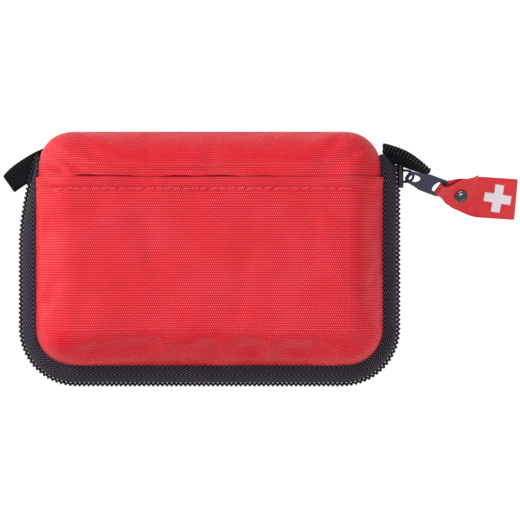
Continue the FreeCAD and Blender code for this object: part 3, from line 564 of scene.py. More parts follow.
def half_faces(first, rings, side, keep_rows=None, keep_columns=None):
    """Faces of one half, wound so that their normals point out of the case."""
    faces = []
    tall = len(YS)
    count = len(COLUMNS)
    rows = keep_rows if keep_rows is not None else tall
    for i in range(len(XS) - 1):
        for j in range(rows - 1):
            face = (i * tall + j, (i + 1) * tall + j, (i + 1) * tall + j + 1, i * tall + j + 1)
            faces.append(face if side > 0 else face[::-1])
    ring_start = len(XS) * tall
    for column in range(count):
        beside = (column + 1) % count
        if keep_columns is not None and not (keep_columns[column] and keep_columns[beside]):
            continue
        here = COLUMNS[column][4] * tall + COLUMNS[column][5]
        there = COLUMNS[beside][4] * tall + COLUMNS[beside][5]
        inner = (here, there)
        for ring in range(rings):
            outer = (ring_start + ring * count + column, ring_start + ring * count + beside)
            face = (inner[0], outer[0], outer[1], inner[1])
            if inner[0] == inner[1]:
                face = (inner[0], outer[0], outer[1])
            faces.append(face if side > 0 else face[::-1])
            inner = outer
    return [tuple(first + corner for corner in face) for face in faces]


# %% Join both halves over the spine
STRIP = 8


def whole_case(lift, depth_front, depth_back):
    """One sheet: front half, spine, back half."""
    front = half_case(lift, depth_front, FRONT, 1)
    back = half_case(lift, depth_back, BACK, -1)
    count = len(COLUMNS)
    rings = front[3]
    seam_front = front[0][-count:]
    seam_back = back[0][-count:]
    over = YS[-1] * 2 + section(lift, depth_front)[2][-1] + section(lift, depth_back)[2][-1]
    over += seam_front[0][2] - seam_back[0][2]
    back_cloth = back[2] * np.array([1, -1]) + np.array([0, over])
    strips, strip_normals, strip_cloth = [], [], []
    for step in range(1, STRIP):
        share = step / STRIP
        strips.append(seam_front * (1 - share) + seam_back * share)
        strip_normals.append(np.hstack([AWAY, np.zeros((count, 1))]))
        strip_cloth.append(front[2][-count:] * (1 - share) + back_cloth[-count:] * share)
    points = np.vstack([front[0], *strips, back[0]])
    normals = np.vstack([front[1], *strip_normals, back[1]])
    cloth = np.vstack([front[2], *strip_cloth, back_cloth])
    half = len(front[0])
    back_start = half + (STRIP - 1) * count
    faces = half_faces(0, rings, 1) + half_faces(back_start, rings, -1)
    spine = EDGE_Y >= SPINE_FROM
    above = [half - count + column for column in range(count)]
    for step in range(1, STRIP + 1):
        if step < STRIP:
            below = [half + (step - 1) * count + column for column in range(count)]
        else:
            below = [back_start + len(back[0]) - count + column for column in range(count)]
        for column in range(count):
            beside = (column + 1) % count
            if spine[column] and spine[beside]:
                faces.append((above[column], below[column], below[beside], above[beside]))
        above = below
    return points, normals, cloth, faces, half, back_start, rings


# %% [markdown]
# A stuffed soft case is never quite flat. Blender's cloth solver puffs the bare sheet from
# inside while its seams are held, which gives the slack between seams its own slow swells. What
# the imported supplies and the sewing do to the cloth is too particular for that, so those dents
# are pressed in afterwards, each a soft oval with its own place, size and turn.

# %% Puff the sheet from inside
MOST_PUFF = 1.5


def puffed(points, faces, held, frames=16):
    """How far each point moves when the sheet is puffed, in millimetres."""
    trial = raw_piece("puff_trial", points * 10, faces, red_nylon)
    group = trial.vertex_groups.new(name="held")
    for index, weight in enumerate(held):
        group.add([index], float(weight), "REPLACE")
    cloth = trial.modifiers.new("cloth", "CLOTH")
    settings = cloth.settings
    settings.quality = 5
    settings.mass = 0.3
    settings.tension_stiffness = settings.compression_stiffness = 40
    settings.shear_stiffness = 20
    settings.bending_stiffness = 8
    settings.use_pressure = True
    settings.uniform_pressure_force = 6
    settings.shrink_min = -0.012
    settings.vertex_group_mass = "held"
    settings.effector_weights.gravity = 0
    cloth.collision_settings.use_collision = False
    scene = bpy.context.scene
    for step in range(1, frames + 1):
        scene.frame_set(step)
    graph = bpy.context.evaluated_depsgraph_get()
    after = trial.evaluated_get(graph).data
    moved = np.zeros(len(after.vertices) * 3)
    after.vertices.foreach_get("co", moved)
    moved = moved.reshape(-1, 3) / MM / 10 - points
    scene.frame_set(1)
    bpy.data.objects.remove(trial)
    far = np.linalg.norm(moved, axis=1)
    print("puffed up to", round(float(far.max()), 2), "mm before the cap")
    scale = np.where(far > 1e-6, np.tanh(far / MOST_PUFF) * MOST_PUFF / np.maximum(far, 1e-6), 1)
    return moved * scale[:, None]


DENT_SHARE = 2.0
# x, y, half length, half width, turn, depth: where the cloth dips
DENTS = (
    (-49.5, 34.6, 9.5, 2.4, -26, 0.75), (-55.5, 30.8, 4.5, 2.2, -8, 0.5),
    (-43.0, 38.5, 8.0, 2.2, -14, 0.35), (-8.0, 31.6, 17.0, 2.2, 2, 0.7),
    (20.0, 33.0, 9.0, 2.2, -6, 0.35), (46.0, 34.5, 9.0, 2.6, 28, 0.6),
    (54.0, 40.0, 6.0, 2.2, 40, 0.4), (34.0, 40.5, 10.0, 2.4, -8, 0.3),
    (-27.0, -33.0, 9.0, 4.2, 6, 1.3), (-1.0, -35.0, 4.6, 4.2, 0, 1.2),
    (14.5, -34.5, 5.0, 4.0, -8, 1.2), (32.0, -34.0, 7.0, 4.2, 5, 1.2),
    (52.0, -31.5, 6.0, 3.4, 25, 0.5), (-46.0, -34.0, 6.5, 3.0, -12, 0.5),
    (-60.0, -16.0, 2.4, 3.0, 0, 0.8), (61.0, -8.0, 2.2, 3.6, 0, 0.7),
    (60.0, 12.0, 2.4, 5.0, 0, 0.4), (-59.0, 12.0, 2.6, 5.0, 0, 0.4),
    (-22.0, 5.0, 3.0, 16.0, 10, 0.3), (12.0, -8.0, 3.4, 18.0, -8, 0.3),
    (38.0, 10.0, 3.0, 15.0, 12, 0.3), (-44.0, -10.0, 3.0, 14.0, -6, 0.25))


def dips(cloth):
    """Depth of the dents at places on the front's cloth."""
    depth = np.zeros(len(cloth))
    for x, y, long, wide, turn, deep in DENTS:
        angle = math.radians(turn)
        across_x = cloth[:, 0] - x
        across_y = cloth[:, 1] - y
        along = across_x * math.cos(angle) + across_y * math.sin(angle)
        aside = across_y * math.cos(angle) - across_x * math.sin(angle)
        depth += DENT_SHARE * deep * np.exp(-(along / long) ** 2 - (aside / wide) ** 2)
    return depth


def swell(cloth, seed=0.0):
    """Slow uneven waves of slack cloth."""
    u, v = cloth[:, 0] + seed, cloth[:, 1] - seed
    waves = 0.22 * np.sin(u / 6.1 + 1.3 * np.sin(v / 9.7)) * np.sin(v / 8.3 + 0.7)
    waves += 0.16 * np.sin(u / 3.4 - v / 7.9 + 0.4) * np.sin(v / 4.1 + u / 15.0)
    return waves


# %% The outer cloth
SEAM_DROP_FRONT = FRONT - SEAM
SEAM_DROP_BACK = (2 * ZIP - SEAM) - BACK
outer = whole_case(0.0, SEAM_DROP_FRONT, SEAM_DROP_BACK)
POINTS, NORMALS, CLOTH, FACES, HALF_COUNT, BACK_START, RINGS = outer
COUNT = len(COLUMNS)
held = np.zeros(len(POINTS))
held[HALF_COUNT - 2 * COUNT:BACK_START] = 1.0
held[-2 * COUNT:] = 1.0
held[BACK_START:BACK_START + len(XS) * len(YS)] = 1.0
PUFF = puffed(POINTS, FACES, held)


def seam_fade(cloth_count, rings):
    """1 on the panel, falling to 0 at the seam."""
    fade = np.ones(cloth_count)
    for ring in range(rings):
        first = len(XS) * len(YS) + ring * COUNT
        fade[first:first + COUNT] = smooth_step((rings - 1 - ring) / 3.0)
    return fade


half_fade = seam_fade(HALF_COUNT, RINGS)
crown = 1 - np.clip(np.abs(CLOTH[:HALF_COUNT, 0]) / 66, 0, 1) ** 2
crown *= 1 - np.clip(np.abs(CLOTH[:HALF_COUNT, 1] - 4) / 46, 0, 1) ** 2
FRONT_RELIEF = (0.9 * crown - dips(CLOTH[:HALF_COUNT]) + swell(CLOTH[:HALF_COUNT])) * half_fade
relief = np.zeros(len(POINTS))
relief[:HALF_COUNT] = FRONT_RELIEF
relief[BACK_START:] = 0.6 * (swell(CLOTH[BACK_START:], 31.0) - 0.15) * half_fade
flat_back = np.zeros(len(POINTS), bool)
flat_back[BACK_START:BACK_START + len(XS) * len(YS)] = True
relief[flat_back] = np.minimum(relief[flat_back], 0) * 0.5
FRONT_SHIFT = PUFF[:HALF_COUNT] + NORMALS[:HALF_COUNT] * FRONT_RELIEF[:, None]
shape = POINTS + PUFF + NORMALS * relief[:, None]
shape[flat_back, 2] = np.maximum(shape[flat_back, 2], BACK)

rim_steps = np.linalg.norm(np.diff(BASE + AWAY * CORNER, axis=0), axis=1)
walk = np.concatenate([[0], np.cumsum(rim_steps)])
scallop = 0.13 * np.sin(walk * 2 * math.pi / 4.15)
for first in (HALF_COUNT - COUNT, len(POINTS) - COUNT):
    shape[first:first + COUNT, :2] += AWAY * scallop[:, None]


def turned_edge(points, cloth, faces, seam_start, side, keep):
    """The cloth's raw edge, turned in behind the seam."""
    seam = points[seam_start:seam_start + COUNT]
    seam_cloth = cloth[seam_start:seam_start + COUNT]
    rows = []
    for inward, rise in ((0.45, -0.35), (1.1, 0.1), (1.3, 1.2)):
        row = seam.copy()
        row[:, :2] -= AWAY * inward
        row[:, 2] += side * rise
        rows.append(row)
    start = len(points)
    points = np.vstack([points, *rows])
    cloth = np.vstack([cloth, *[seam_cloth + AWAY * step for step in (0.5, 1.2, 2.3)]])
    above = seam_start
    for step in range(len(rows)):
        below = start + step * COUNT
        for column in range(COUNT):
            beside = (column + 1) % COUNT
            if keep[column] and keep[beside]:
                face = (above + column, below + column, below + beside, above + beside)
                faces.append(face if side > 0 else face[::-1])
        above = below
    return points, cloth, faces


def without_loose(points, faces, cloth):
    """Drop the points that no face uses."""
    used = sorted({corner for face in faces for corner in face})
    place = {old: new for new, old in enumerate(used)}
    faces = [tuple(place[corner] for corner in face) for face in faces]
    return np.asarray(points)[used], faces, np.asarray(cloth)[used]


sewn = EDGE_Y < SPINE_FROM + 1.0
shape, shape_cloth, shape_faces = turned_edge(
    shape, CLOTH, list(FACES), HALF_COUNT - COUNT, 1, sewn)
shape, shape_cloth, shape_faces = turned_edge(
    shape, shape_cloth, shape_faces, len(POINTS) - COUNT, -1, sewn)
shape, shape_faces, shape_cloth = without_loose(shape, shape_faces, shape_cloth)
outer_cloth = piece("outer_cloth", shape, shape_faces, red_nylon, None,
                    cloth=shape_cloth, level=1)
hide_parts("front_shell", "back_shell")
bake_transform(outer_cloth)

# %% [markdown]
# ## The slip pocket
#
# A second piece of the same nylon lies over the front panel up to its mouth. Its top edge is
# folded back and sewn down with a row of long red stitches, which pull the cloth in a little at
# each hole. It follows the panel beneath by the same swells and dents, a ply further out.

# %% Pocket cloth
POCKET_LIFT = 0.9
pocket = half_case(POCKET_LIFT, SEAM_DROP_FRONT, FRONT, 1)
rows_kept = int(np.argmin(np.abs(YS - MOUTH))) + 1
below_mouth = BASE[:, 1] + np.minimum(AWAY[:, 1], 0) <= MOUTH + 0.01
below_mouth &= ~((AWAY[:, 1] > 0.01) & (BASE[:, 1] > 0))
pocket_points = pocket[0] + FRONT_SHIFT
u, v = pocket[2][:, 0], pocket[2][:, 1]
sewing = np.exp(-((v - STITCH_ROW) / 0.7) ** 2)
pull = sewing * (0.4 + 0.2 * np.sin(u * 2 * math.pi / 3.3))
hem = smooth_step((v - STITCH_ROW) / 0.9) * 0.28
lip = smooth_step((v - MOUTH + 3) / 3) * (0.4 + 0.2 * np.sin(u / 7.3) + 0.12 * np.sin(u / 3.1 + 1))
pocket_fade = seam_fade(len(pocket_points), pocket[3])
pocket_points += pocket[1] * ((hem + lip - pull) * pocket_fade)[:, None]
pocket_faces = half_faces(0, pocket[3], 1, rows_kept, below_mouth)
seam_first = len(pocket_points) - COUNT
pocket_points[seam_first:, :2] += AWAY * scallop[:, None]
pocket_points, pocket_cloth, pocket_faces = turned_edge(
    pocket_points, pocket[2] + np.array([0.3, 0.4]), pocket_faces, seam_first, 1, below_mouth)
pocket_points, pocket_faces, pocket_cloth = without_loose(
    pocket_points, pocket_faces, pocket_cloth)
slip_cloth = piece("slip_pocket_cloth", pocket_points, pocket_faces, red_nylon, "cover",
                   ["slip_pocket"], pocket_cloth, thick=0.55, level=1)

# %% [markdown]
# A narrow strip of dark red cloth stands up behind the mouth. It is a painted shadow: a dark
# sheet that stands in for the shade in the gap under the pocket's lip.

# %% The painted shadow strip behind the mouth
MOUTH_SHADOW_STEPS = 110
mouth_shadow_points, mouth_shadow_cloth = [], []
row = int(np.argmin(np.abs(YS - MOUTH)))
panel_heights = (POINTS[:HALF_COUNT] + FRONT_SHIFT)[:, 2][row:len(XS) * len(YS):len(YS)]
for x in np.linspace(-INNER - 1.0, INNER + 1.0, MOUTH_SHADOW_STEPS):
    over = max(abs(x) - INNER, 0.0)
    fall = ROUND - math.sqrt(max(ROUND ** 2 - over ** 2, 0.0))
    height = np.interp(np.clip(x, -INNER, INNER), XS, panel_heights) - fall
    # How far the painted shadow shows above the lip, widest near x = -40 and x = -9.
    proud = 0.16 + 0.22 * math.sin(x / 9.0 + 0.6) + 0.16 * math.sin(x / 2.7)
    proud += 0.36 * math.exp(-((x + 40) / 14) ** 2) + 0.3 * math.exp(-((x + 9) / 10) ** 2)
    end_fade = float(np.clip((INNER + 1 - abs(x)) / 5, 0, 1))
    tall = 1.2 + max(proud, 0.1) * end_fade
    for share in (0.0, 0.5, 1.0):
        rise = 0.75 - 0.35 * share
        mouth_shadow_points.append((x, MOUTH - 1.2 + tall * share, height + rise))
        mouth_shadow_cloth.append((x, share * 1.6))
mouth_shadow_faces = grid_faces(MOUTH_SHADOW_STEPS, 3)
piece("pocket_facing", mouth_shadow_points, [face[::-1] for face in mouth_shadow_faces], mouth_shadow_red, "cover",
      cloth=np.array(mouth_shadow_cloth), thick=0.12)


# %% A row of stitches
def stitches(places, ups, radius, sink=0.5, sides=6):
    """Short threads, one from each place to the next marked pair, dipping at both ends."""
    parts = []
    for (start, end), up in zip(places, ups):
        start, end, up = (np.asarray(each, float) for each in (start, end, up))
        path = []
        for share in np.linspace(0, 1, 7):
            rise = math.sin(math.pi * share) ** 0.5
            path.append(start + (end - start) * share + up * radius * (rise * (1 + sink) - sink))
        parts.append(tube(path, radius, sides, up=up + np.array([0.001, 0.002, 0.003])))
    return joined(parts)


def pocket_height(x):
    """How high the pocket lies along its stitch row."""
    row = int(np.argmin(np.abs(YS - STITCH_ROW)))
    heights = (pocket[0] + FRONT_SHIFT)[:, 2][row:len(XS) * len(YS):len(YS)]
    return np.interp(x, XS, heights)


STITCH_LONG, STITCH_PITCH = 2.35, 3.3
spans, ups = [], []
for number in range(int(2 * (INNER + 6) / STITCH_PITCH)):
    x = -INNER - 6 + number * STITCH_PITCH + 0.35 * math.sin(number * 1.9)
    ends = []
    for end_x in (x, x + STITCH_LONG + 0.2 * math.sin(number * 2.7)):
        over = max(abs(end_x) - INNER - 1.0, 0)
        angle = math.asin(min(over / (ROUND + POCKET_LIFT), 0.98))
        fall = (ROUND + POCKET_LIFT) * (1 - math.cos(angle))
        wander = 0.16 * math.sin(number * 1.3 + end_x)
        lies = pocket_height(np.clip(end_x, -INNER, INNER)) - fall
        ends.append((end_x, STITCH_ROW + wander, lies))
    spans.append(ends)
    ups.append((0.0, 0.0, 1.0))
thread_points, thread_faces, thread_cloth = stitches(spans, ups, 0.2)
piece("pocket_stitches", thread_points, thread_faces, red_thread, "cover",
      cloth=thread_cloth)

# %% [markdown]
# ## The zip
#
# Each tape is sewn under the cloth's edge, curves out over its own fold and stands upright
# behind the coil. The path is a U: down the left, round the corner, along the bottom and up the
# right. Laying every row of the tape on the same stations keeps its ribs running true round the
# corners. Near the spine the zip bends in towards the case, as stiff tape does where it is sewn.

# %% Stations along the U
def stations(step):
    """Segment and share along it, evenly spaced round the U."""
    lengths = (ZIP_TOP - LOW_ROW, CORNER * 2.2, 2 * INNER, CORNER * 2.2, ZIP_TOP - LOW_ROW)
    made = []
    for segment, length in enumerate(lengths):
        count = max(4, int(round(length / step)))
        for share in np.arange(count) / count:
            made.append((segment, share))
    made.append((4, 1.0))
    return made


def on_u(half, low, station, out):
    """Point and outward direction on the U whose sides stand at half and low."""
    segment, share = station
    centre_y = LOW_ROW
    radius = centre_y - low
    centre_x = half - radius
    if segment == 0:
        point, away = (-half, ZIP_TOP + (centre_y - ZIP_TOP) * share), (-1, 0)
    elif segment == 4:
        point, away = (half, centre_y + (ZIP_TOP - centre_y) * share), (1, 0)
    elif segment == 2:
        point, away = (-centre_x + 2 * centre_x * share, low), (0, -1)
    else:
        start = 180 if segment == 1 else 270
        angle = math.radians(start + 90 * share)
        middle = -centre_x if segment == 1 else centre_x
        away = (math.cos(angle), math.sin(angle))
        point = (middle + radius * away[0], centre_y + radius * away[1])
    x, y = point
    if x < 0:
        x += 5.8 * out * max(0.0, (y - 6) / 32) ** 1.6
    else:
        x -= 4.6 * out * float(np.clip((y - 31) / 7, 0, 1)) ** 1.4
    return np.array([x, y]), np.array(away)


def bend_curve(share):
    """The tape's section: share of the way out, and height above the zip's plane."""
    stops = ((-0.12, SEAM - ZIP - 0.3), (0.5, SEAM - ZIP + 0.5), (1.02, 6.2), (1.0, 0.75))
    inverse = 1 - share
    weights = (inverse ** 3, 3 * inverse ** 2 * share, 3 * inverse * share ** 2, share ** 3)
    return [sum(w * stop[axis] for w, stop in zip(weights, stops)) for axis in (0, 1)]


def tape_piece(name, side, body, nodes):
    """One tape as a curved strip."""
    rows = stations(1.6)
    shares = np.linspace(0, 1, 12)
    points, cloth = [], []
    run = 0.0
    last = None
    for station in rows:
        mid, _ = on_u(TAPE_OUT, TAPE_LOW, station, 0.7)
        run += 0.0 if last is None else float(np.linalg.norm(mid - last))
        last = mid
        walked = 0.0
        before = None
        for share in shares:
            out, height = bend_curve(share)
            inner, away = on_u(HALF, BOTTOM, station, 0.0)
            outer, _ = on_u(TAPE_OUT, TAPE_LOW, station, 1.0)
            flat = inner + (outer - inner) * out
            ripple = 0.14 * math.sin(run / 3.1 + side) * math.sin(math.pi * share)
            flat = flat + away * ripple
            point = np.array([flat[0], flat[1], ZIP + side * height])
            walked += 0.0 if before is None else float(np.linalg.norm(point - before))
            before = point
            points.append(point)
            cloth.append((run, walked))
    faces = grid_faces(len(rows), len(shares))
    if side > 0:
        faces = [face[::-1] for face in faces]
    made = piece(name, points, faces, black_tape, body, nodes, np.array(cloth),
                 thick=0.5, level=1)
    return run


tape_run = tape_piece("tape_front_cloth", 1, "cover", ["zip_tape_front", "tape_skirt_front"])
tape_piece("tape_back_cloth", -1, "root", ["zip_tape_back", "tape_skirt_back"])
print("each tape runs", round(tape_run), "mm")

# %% [markdown]
# A coil zip's teeth are one nylon wire wound in flat turns. Two of them, one a mirror of the
# other, meet at the zip's plane. A wire swept along a helix gives the true gaps between turns,
# which a row of blocks would not. A cord lies inside the turns, as in a real coil.

# %% Wind the coils
COIL_PITCH = 1.68
COIL_WIRE = 0.34
COIL_CORE = 0.3
COIL_MIDDLE = 1.5


def along_line(points, spacing):
    """Evenly spaced points along a line of points, with their directions."""
    points = np.asarray(points, float)
    run = np.concatenate([[0], np.cumsum(np.linalg.norm(np.diff(points, axis=0), axis=1))])
    places = np.arange(0, run[-1], spacing)
    even = np.stack([np.interp(places, run, points[:, axis]) for axis in range(points.shape[1])], 1)
    ahead = np.gradient(even, axis=0)
    ahead /= np.linalg.norm(ahead, axis=1)[:, None]
    return places, even, ahead


def outward(forward):
    """Level direction out of the case, square to the path."""
    return np.array([forward[1], -forward[0], 0.0]) * -1


def coil_points(line, up, offset, rise, reach, phase=0.0, turn_steps=12, pitch=COIL_PITCH):
    """A flat helix: it swings along up by rise and outward by reach, about offset."""
    places, even, ahead = along_line(line, pitch / turn_steps)
    up = np.asarray(up, float)
    path = []
    for place, point, forward in zip(places, even, ahead):
        angle = 2 * math.pi * place / pitch + phase
        swing = up * (offset + rise * math.cos(angle)) + outward(forward) * reach * math.sin(angle)
        path.append(point + swing)
    return path


def coil_piece(name, side, body, node):
    """One coil with its cord; the cover's stops short of the slider."""
    line = []
    for station in stations(1.0):
        flat, _ = on_u(COIL_OUT - 0.72, COIL_LOW + 0.72, station, 1.0)
        line.append((flat[0], flat[1], ZIP))
    if side > 0:
        line = [p for p in line if not (p[0] > 0 and p[1] > box("slider_body")[0][1] - 0.4)]
    path = coil_points(line, (0, 0, side), COIL_MIDDLE, 0.9, 0.62)
    core = [(x, y, ZIP + side * COIL_MIDDLE) for x, y, _ in line]
    points, faces, cloth = joined([tube(path, COIL_WIRE, 6), tube(core, COIL_CORE, 8, flat=1.5)])
    piece(name, points, faces, coil_nylon, body, [node], cloth)


coil_piece("coil_front", 1, "cover", "zip_coil_front")
coil_piece("coil_back", -1, "root", "zip_coil_back")


# %% Stitches that hold cloth and tape
def seam_stitches(name, side, body):
    """A thread row on the cloth's edge, right beside the tape."""
    edge = [np.append(on_u(HALF - 0.35, BOTTOM + 0.35, station, 0.0)[0], 0.0)
            for station in stations(1.0)]
    _, even, ahead = along_line(edge, 3.1)
    spans, ups = [], []
    for point, forward in zip(even, ahead):
        if point[1] > ZIP_TOP - 3:
            continue
        away = -np.array([forward[1], -forward[0], 0.0])
        height = ZIP + side * (SEAM - ZIP + 2.3)
        start = np.array([point[0], point[1], height]) + away * 0.28
        spans.append((start, start + forward * 2.1))
        ups.append(away)
    points, faces, cloth = stitches(spans, ups, 0.13)
    piece(name, points, faces, red_thread, body, cloth=cloth)


seam_stitches("seam_stitches_front", 1, "cover")
seam_stitches("seam_stitches_back", -1, "root")

# %% [markdown]
# ## The zip's ends
#
# Past the last tooth both tapes are folded together and sewn into the spine's corners, so a
# short tab sticks out on each side. The left one is plain folded tape. The right one still
# carries the closed coil near its upper edge, and its tip curls up clear of the puller. Each
# is lofted between its two long edges.

# %% Two tabs
TAIL_WIRE = 0.26


def at_share(line, share):
    """The point at a share of the way through a list of points."""
    return np.array(
        [np.interp(share * (len(line) - 1), np.arange(len(line)), line[:, k]) for k in range(3)])


def tab_piece(name, node, upper, lower, bulge, thick, lift=0.0):
    """A curved tab between an upper and a lower edge, given as shares of its CAD box."""
    low, high = box(node)
    span = high - low

    def edge(shares):
        line = np.array([low + np.array([a, b, 0.5]) * span for a, b in shares])
        for _ in range(3):
            near, far = line[:-1] * 0.75 + line[1:] * 0.25, line[:-1] * 0.25 + line[1:] * 0.75
            cut = np.stack([near, far], 1).reshape(-1, 3)
            line = np.vstack([line[:1], cut[1:-1], line[-1:]])
        return along_line(line, 0.8)[1]

    above, below = edge(upper), edge(lower)
    rows, width = 24, 9
    layers, cloth = {1: [], -1: []}, []
    for side in layers:
        for row in range(rows):
            share = row / (rows - 1)
            first, second = at_share(above, share), at_share(below, share)
            wide = np.linalg.norm(first - second)
            for column in range(width):
                across = column / (width - 1)
                point = first + (second - first) * across
                rim = math.sin(math.pi * across) ** 0.35
                swell_up = side * (thick / 2 * (0.45 + 0.55 * rim))
                swell_up += bulge * math.sin(math.pi * share)
                swell_up += lift * share ** 1.5
                layers[side].append(point + np.array([0, 0, swell_up]))
                cloth.append((share * 22, across * wide))
    points, faces = closed_slab(layers[1], layers[-1], rows, width)
    piece(name, points, faces, tab_tape, "root", [node], np.array(cloth), level=1)
    return above, below


left_upper = ((0.93, 0.86), (0.62, 0.74), (0.2, 0.47), (0.04, 0.29))
left_lower = ((0.9, 0.36), (0.66, 0.26), (0.5, 0.16), (0.24, -0.02))
tab_piece("tail_left_tab", "zip_tail_left", left_upper, left_lower, 0.5, 1.5)
right_upper = ((0.2, 0.7), (0.34, 0.67), (0.72, 0.49), (1.0, 0.23), (1.23, -0.08))
right_lower = ((0.2, 0.1), (0.46, 0.12), (0.66, 0.0), (0.92, -0.12), (1.17, -0.2))
TIP_LIFT = 5.2
above, below = tab_piece("tail_right_tab", "zip_tail_right", right_upper, right_lower, 0.6, 1.4,
                         TIP_LIFT)
for number, share in enumerate((0.17, 0.36)):
    rail = []
    for along in np.linspace(0, 1, 60):
        first, second = at_share(above, along), at_share(below, along)
        rail.append(first + (second - first) * share + np.array(
            [0, 0, 0.65 + 0.6 * math.sin(math.pi * along) + TIP_LIFT * along ** 1.5]))
    path = coil_points(rail, (0, 0, 1), 0.0, 0.4, 0.62, number * math.pi, pitch=1.3)
    points, faces, cloth = tube(path, TAIL_WIRE, 6)
    piece(f"tail_coil_{number}", points, faces, coil_nylon, "root",
          cloth=np.array(cloth))

# %% [markdown]
# ## Slider
#
# A zip slider is two small shield-shaped plates joined by a post, with flanges that keep the
# coils between them. An arch, the crown, stands on the outer plate and holds the puller. The
# plates are outlines pushed to a thickness and softened at their edges, and the crown is a
# flattened wire bent to an arch.

# %% Plates, flanges and post
def plate(outline, frame_of, thick):
    """Points and faces of an outline pushed to a thickness; frame_of places (a, b, c)."""
    count = len(outline)
    points = [frame_of(a, b, -thick / 2) for a, b in outline]
    points += [frame_of(a, b, thick / 2) for a, b in outline]
    faces = [tuple(reversed(range(count))), tuple(range(count, 2 * count))]
    for step in range(count):
        beside = (step + 1) % count
        faces.append((step, beside, count + beside, count + step))
    return points, faces, [(a, b) for a, b in outline] * 2


def rounded(corners, radius, steps=5):
    """Round each corner of an outline."""
    corners = np.asarray(corners, float)
    made = []
    for number, here in enumerate(corners):
        before = corners[number - 1] - here
        after = corners[(number + 1) % len(corners)] - here
        reach = min(radius, 0.48 * np.linalg.norm(before), 0.48 * np.linalg.norm(after))
        start = here + before / np.linalg.norm(before) * reach
        end = here + after / np.linalg.norm(after) * reach
        for share in np.linspace(0, 1, steps + 1):
            made.append(tuple((1 - share) ** 2 * start + 2 * share * (1 - share) * here
                              + share ** 2 * end))
    return made


slider_low, slider_high = box("slider_body")
middle_y = (slider_low[1] + slider_high[1]) / 2
half_y = (slider_high[1] - slider_low[1]) / 2
half_z = (slider_high[2] - slider_low[2]) / 2
shield = rounded([
    (-half_y, -half_z * 0.72), (half_y * 0.35, -half_z * 0.9), (half_y, -half_z * 0.55),
    (half_y, half_z * 0.55), (half_y * 0.35, half_z * 0.9), (-half_y, half_z * 0.72)], 1.6)
PLATE = 0.9
parts = []
for x, wide in ((slider_high[0] - PLATE / 2, 1.12), (slider_low[0] + PLATE / 2, 1.0)):
    place = lambda a, b, c, x=x, wide=wide: np.array([x + c, middle_y + a, ZIP + b * wide])
    parts.append(plate(shield, place, PLATE))
flange = rounded([(-half_y, 0.0), (half_y, 0.0), (half_y, 1.5), (-half_y, 1.5)], 0.5)
for side in (1, -1):
    place = lambda a, b, c, side=side: np.array(
        [slider_high[0] - 0.4 - b, middle_y + a, ZIP + side * (half_z - 0.4) + c])
    parts.append(plate(flange, place, 0.7))
post = rounded([(half_y - 2.6, 0.0), (half_y - 0.2, 0.0),
                (half_y - 0.2, 3.6), (half_y - 2.6, 3.6)], 0.3)
place = lambda a, b, c: np.array([slider_high[0] - 0.6 - b, middle_y + a, ZIP + c])
parts.append(plate(post, place, 0.5))
points, faces, cloth = joined(parts)
piece("slider_plates", points, faces, black_enamel, "slider", ["slider_body"],
      cloth, bevel=0.22)

crown_low, crown_high = box("slider_crown")
crown_middle = (crown_low[1] + crown_high[1]) / 2
crown_half = (crown_high[1] - crown_low[1]) / 2 - 0.4
crown_rise = crown_high[0] - crown_low[0] - 0.4
arch = []
for share in np.linspace(0, 1, 25):
    angle = math.pi * share
    x = crown_low[0] - 0.3 + (crown_rise + 0.3) * math.sin(angle) ** 0.62
    arch.append((x, crown_middle - crown_half * math.cos(angle), ZIP))
points, faces, cloth = tube(arch, 0.46, 10, flat=1.15)
piece("slider_arch", points, faces, black_enamel, "slider", ["slider_crown"],
      np.array(cloth))

# %% [markdown]
# ## Puller
#
# The puller is a stamped plate with a drop-shaped eye and a curved slot, plated dark grey. A
# filled curve with a bevel makes exactly that: flat faces, holes with soft rims. It is made
# flat and then set at the turn that it hangs at.

# %% Stamp the puller
pull_pivot = Vector(joints["puller_swing"]["pos_m"])
pull_turn = (Matrix.Rotation(math.radians(-20), 4, "Z") @ Matrix.Rotation(math.radians(16), 4, "Y")
             @ Matrix.Rotation(math.radians(45), 4, "X"))
pull_place = Matrix.Translation(pull_pivot) @ pull_turn


def stamped(name, outlines, thick, rim, finish, place, body, nodes):
    """A plate with holes from flat outlines, with rounded rims."""
    curve = bpy.data.curves.new(name, "CURVE")
    curve.dimensions = "2D"
    curve.fill_mode = "BOTH"
    curve.extrude = (thick / 2 - rim) * MM
    curve.bevel_depth = rim * MM
    curve.bevel_resolution = 2
    curve.offset = -rim * MM
    for outline in outlines:
        line = curve.splines.new("POLY")
        line.points.add(len(outline) - 1)
        for point, (x, y) in zip(line.points, outline):
            point.co = (x * MM, y * MM, 0, 1)
        line.use_cyclic_u = True
    flat = bpy.data.objects.new(name + "_flat", curve)
    bpy.context.scene.collection.objects.link(flat)
    graph = bpy.context.evaluated_depsgraph_get()
    mesh = bpy.data.meshes.new_from_object(flat.evaluated_get(graph))
    bpy.data.objects.remove(flat)
    mesh.transform(place)
    mesh.materials.clear()
    mesh.materials.append(finish)
    obj = bpy.data.objects.new(name, mesh)
    bpy.context.scene.collection.objects.link(obj)
    for polygon in mesh.polygons:
        polygon.use_smooth = False
    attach(obj, body)
    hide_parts(*nodes)
    print("piece", name, len(mesh.vertices), "points")
    return obj


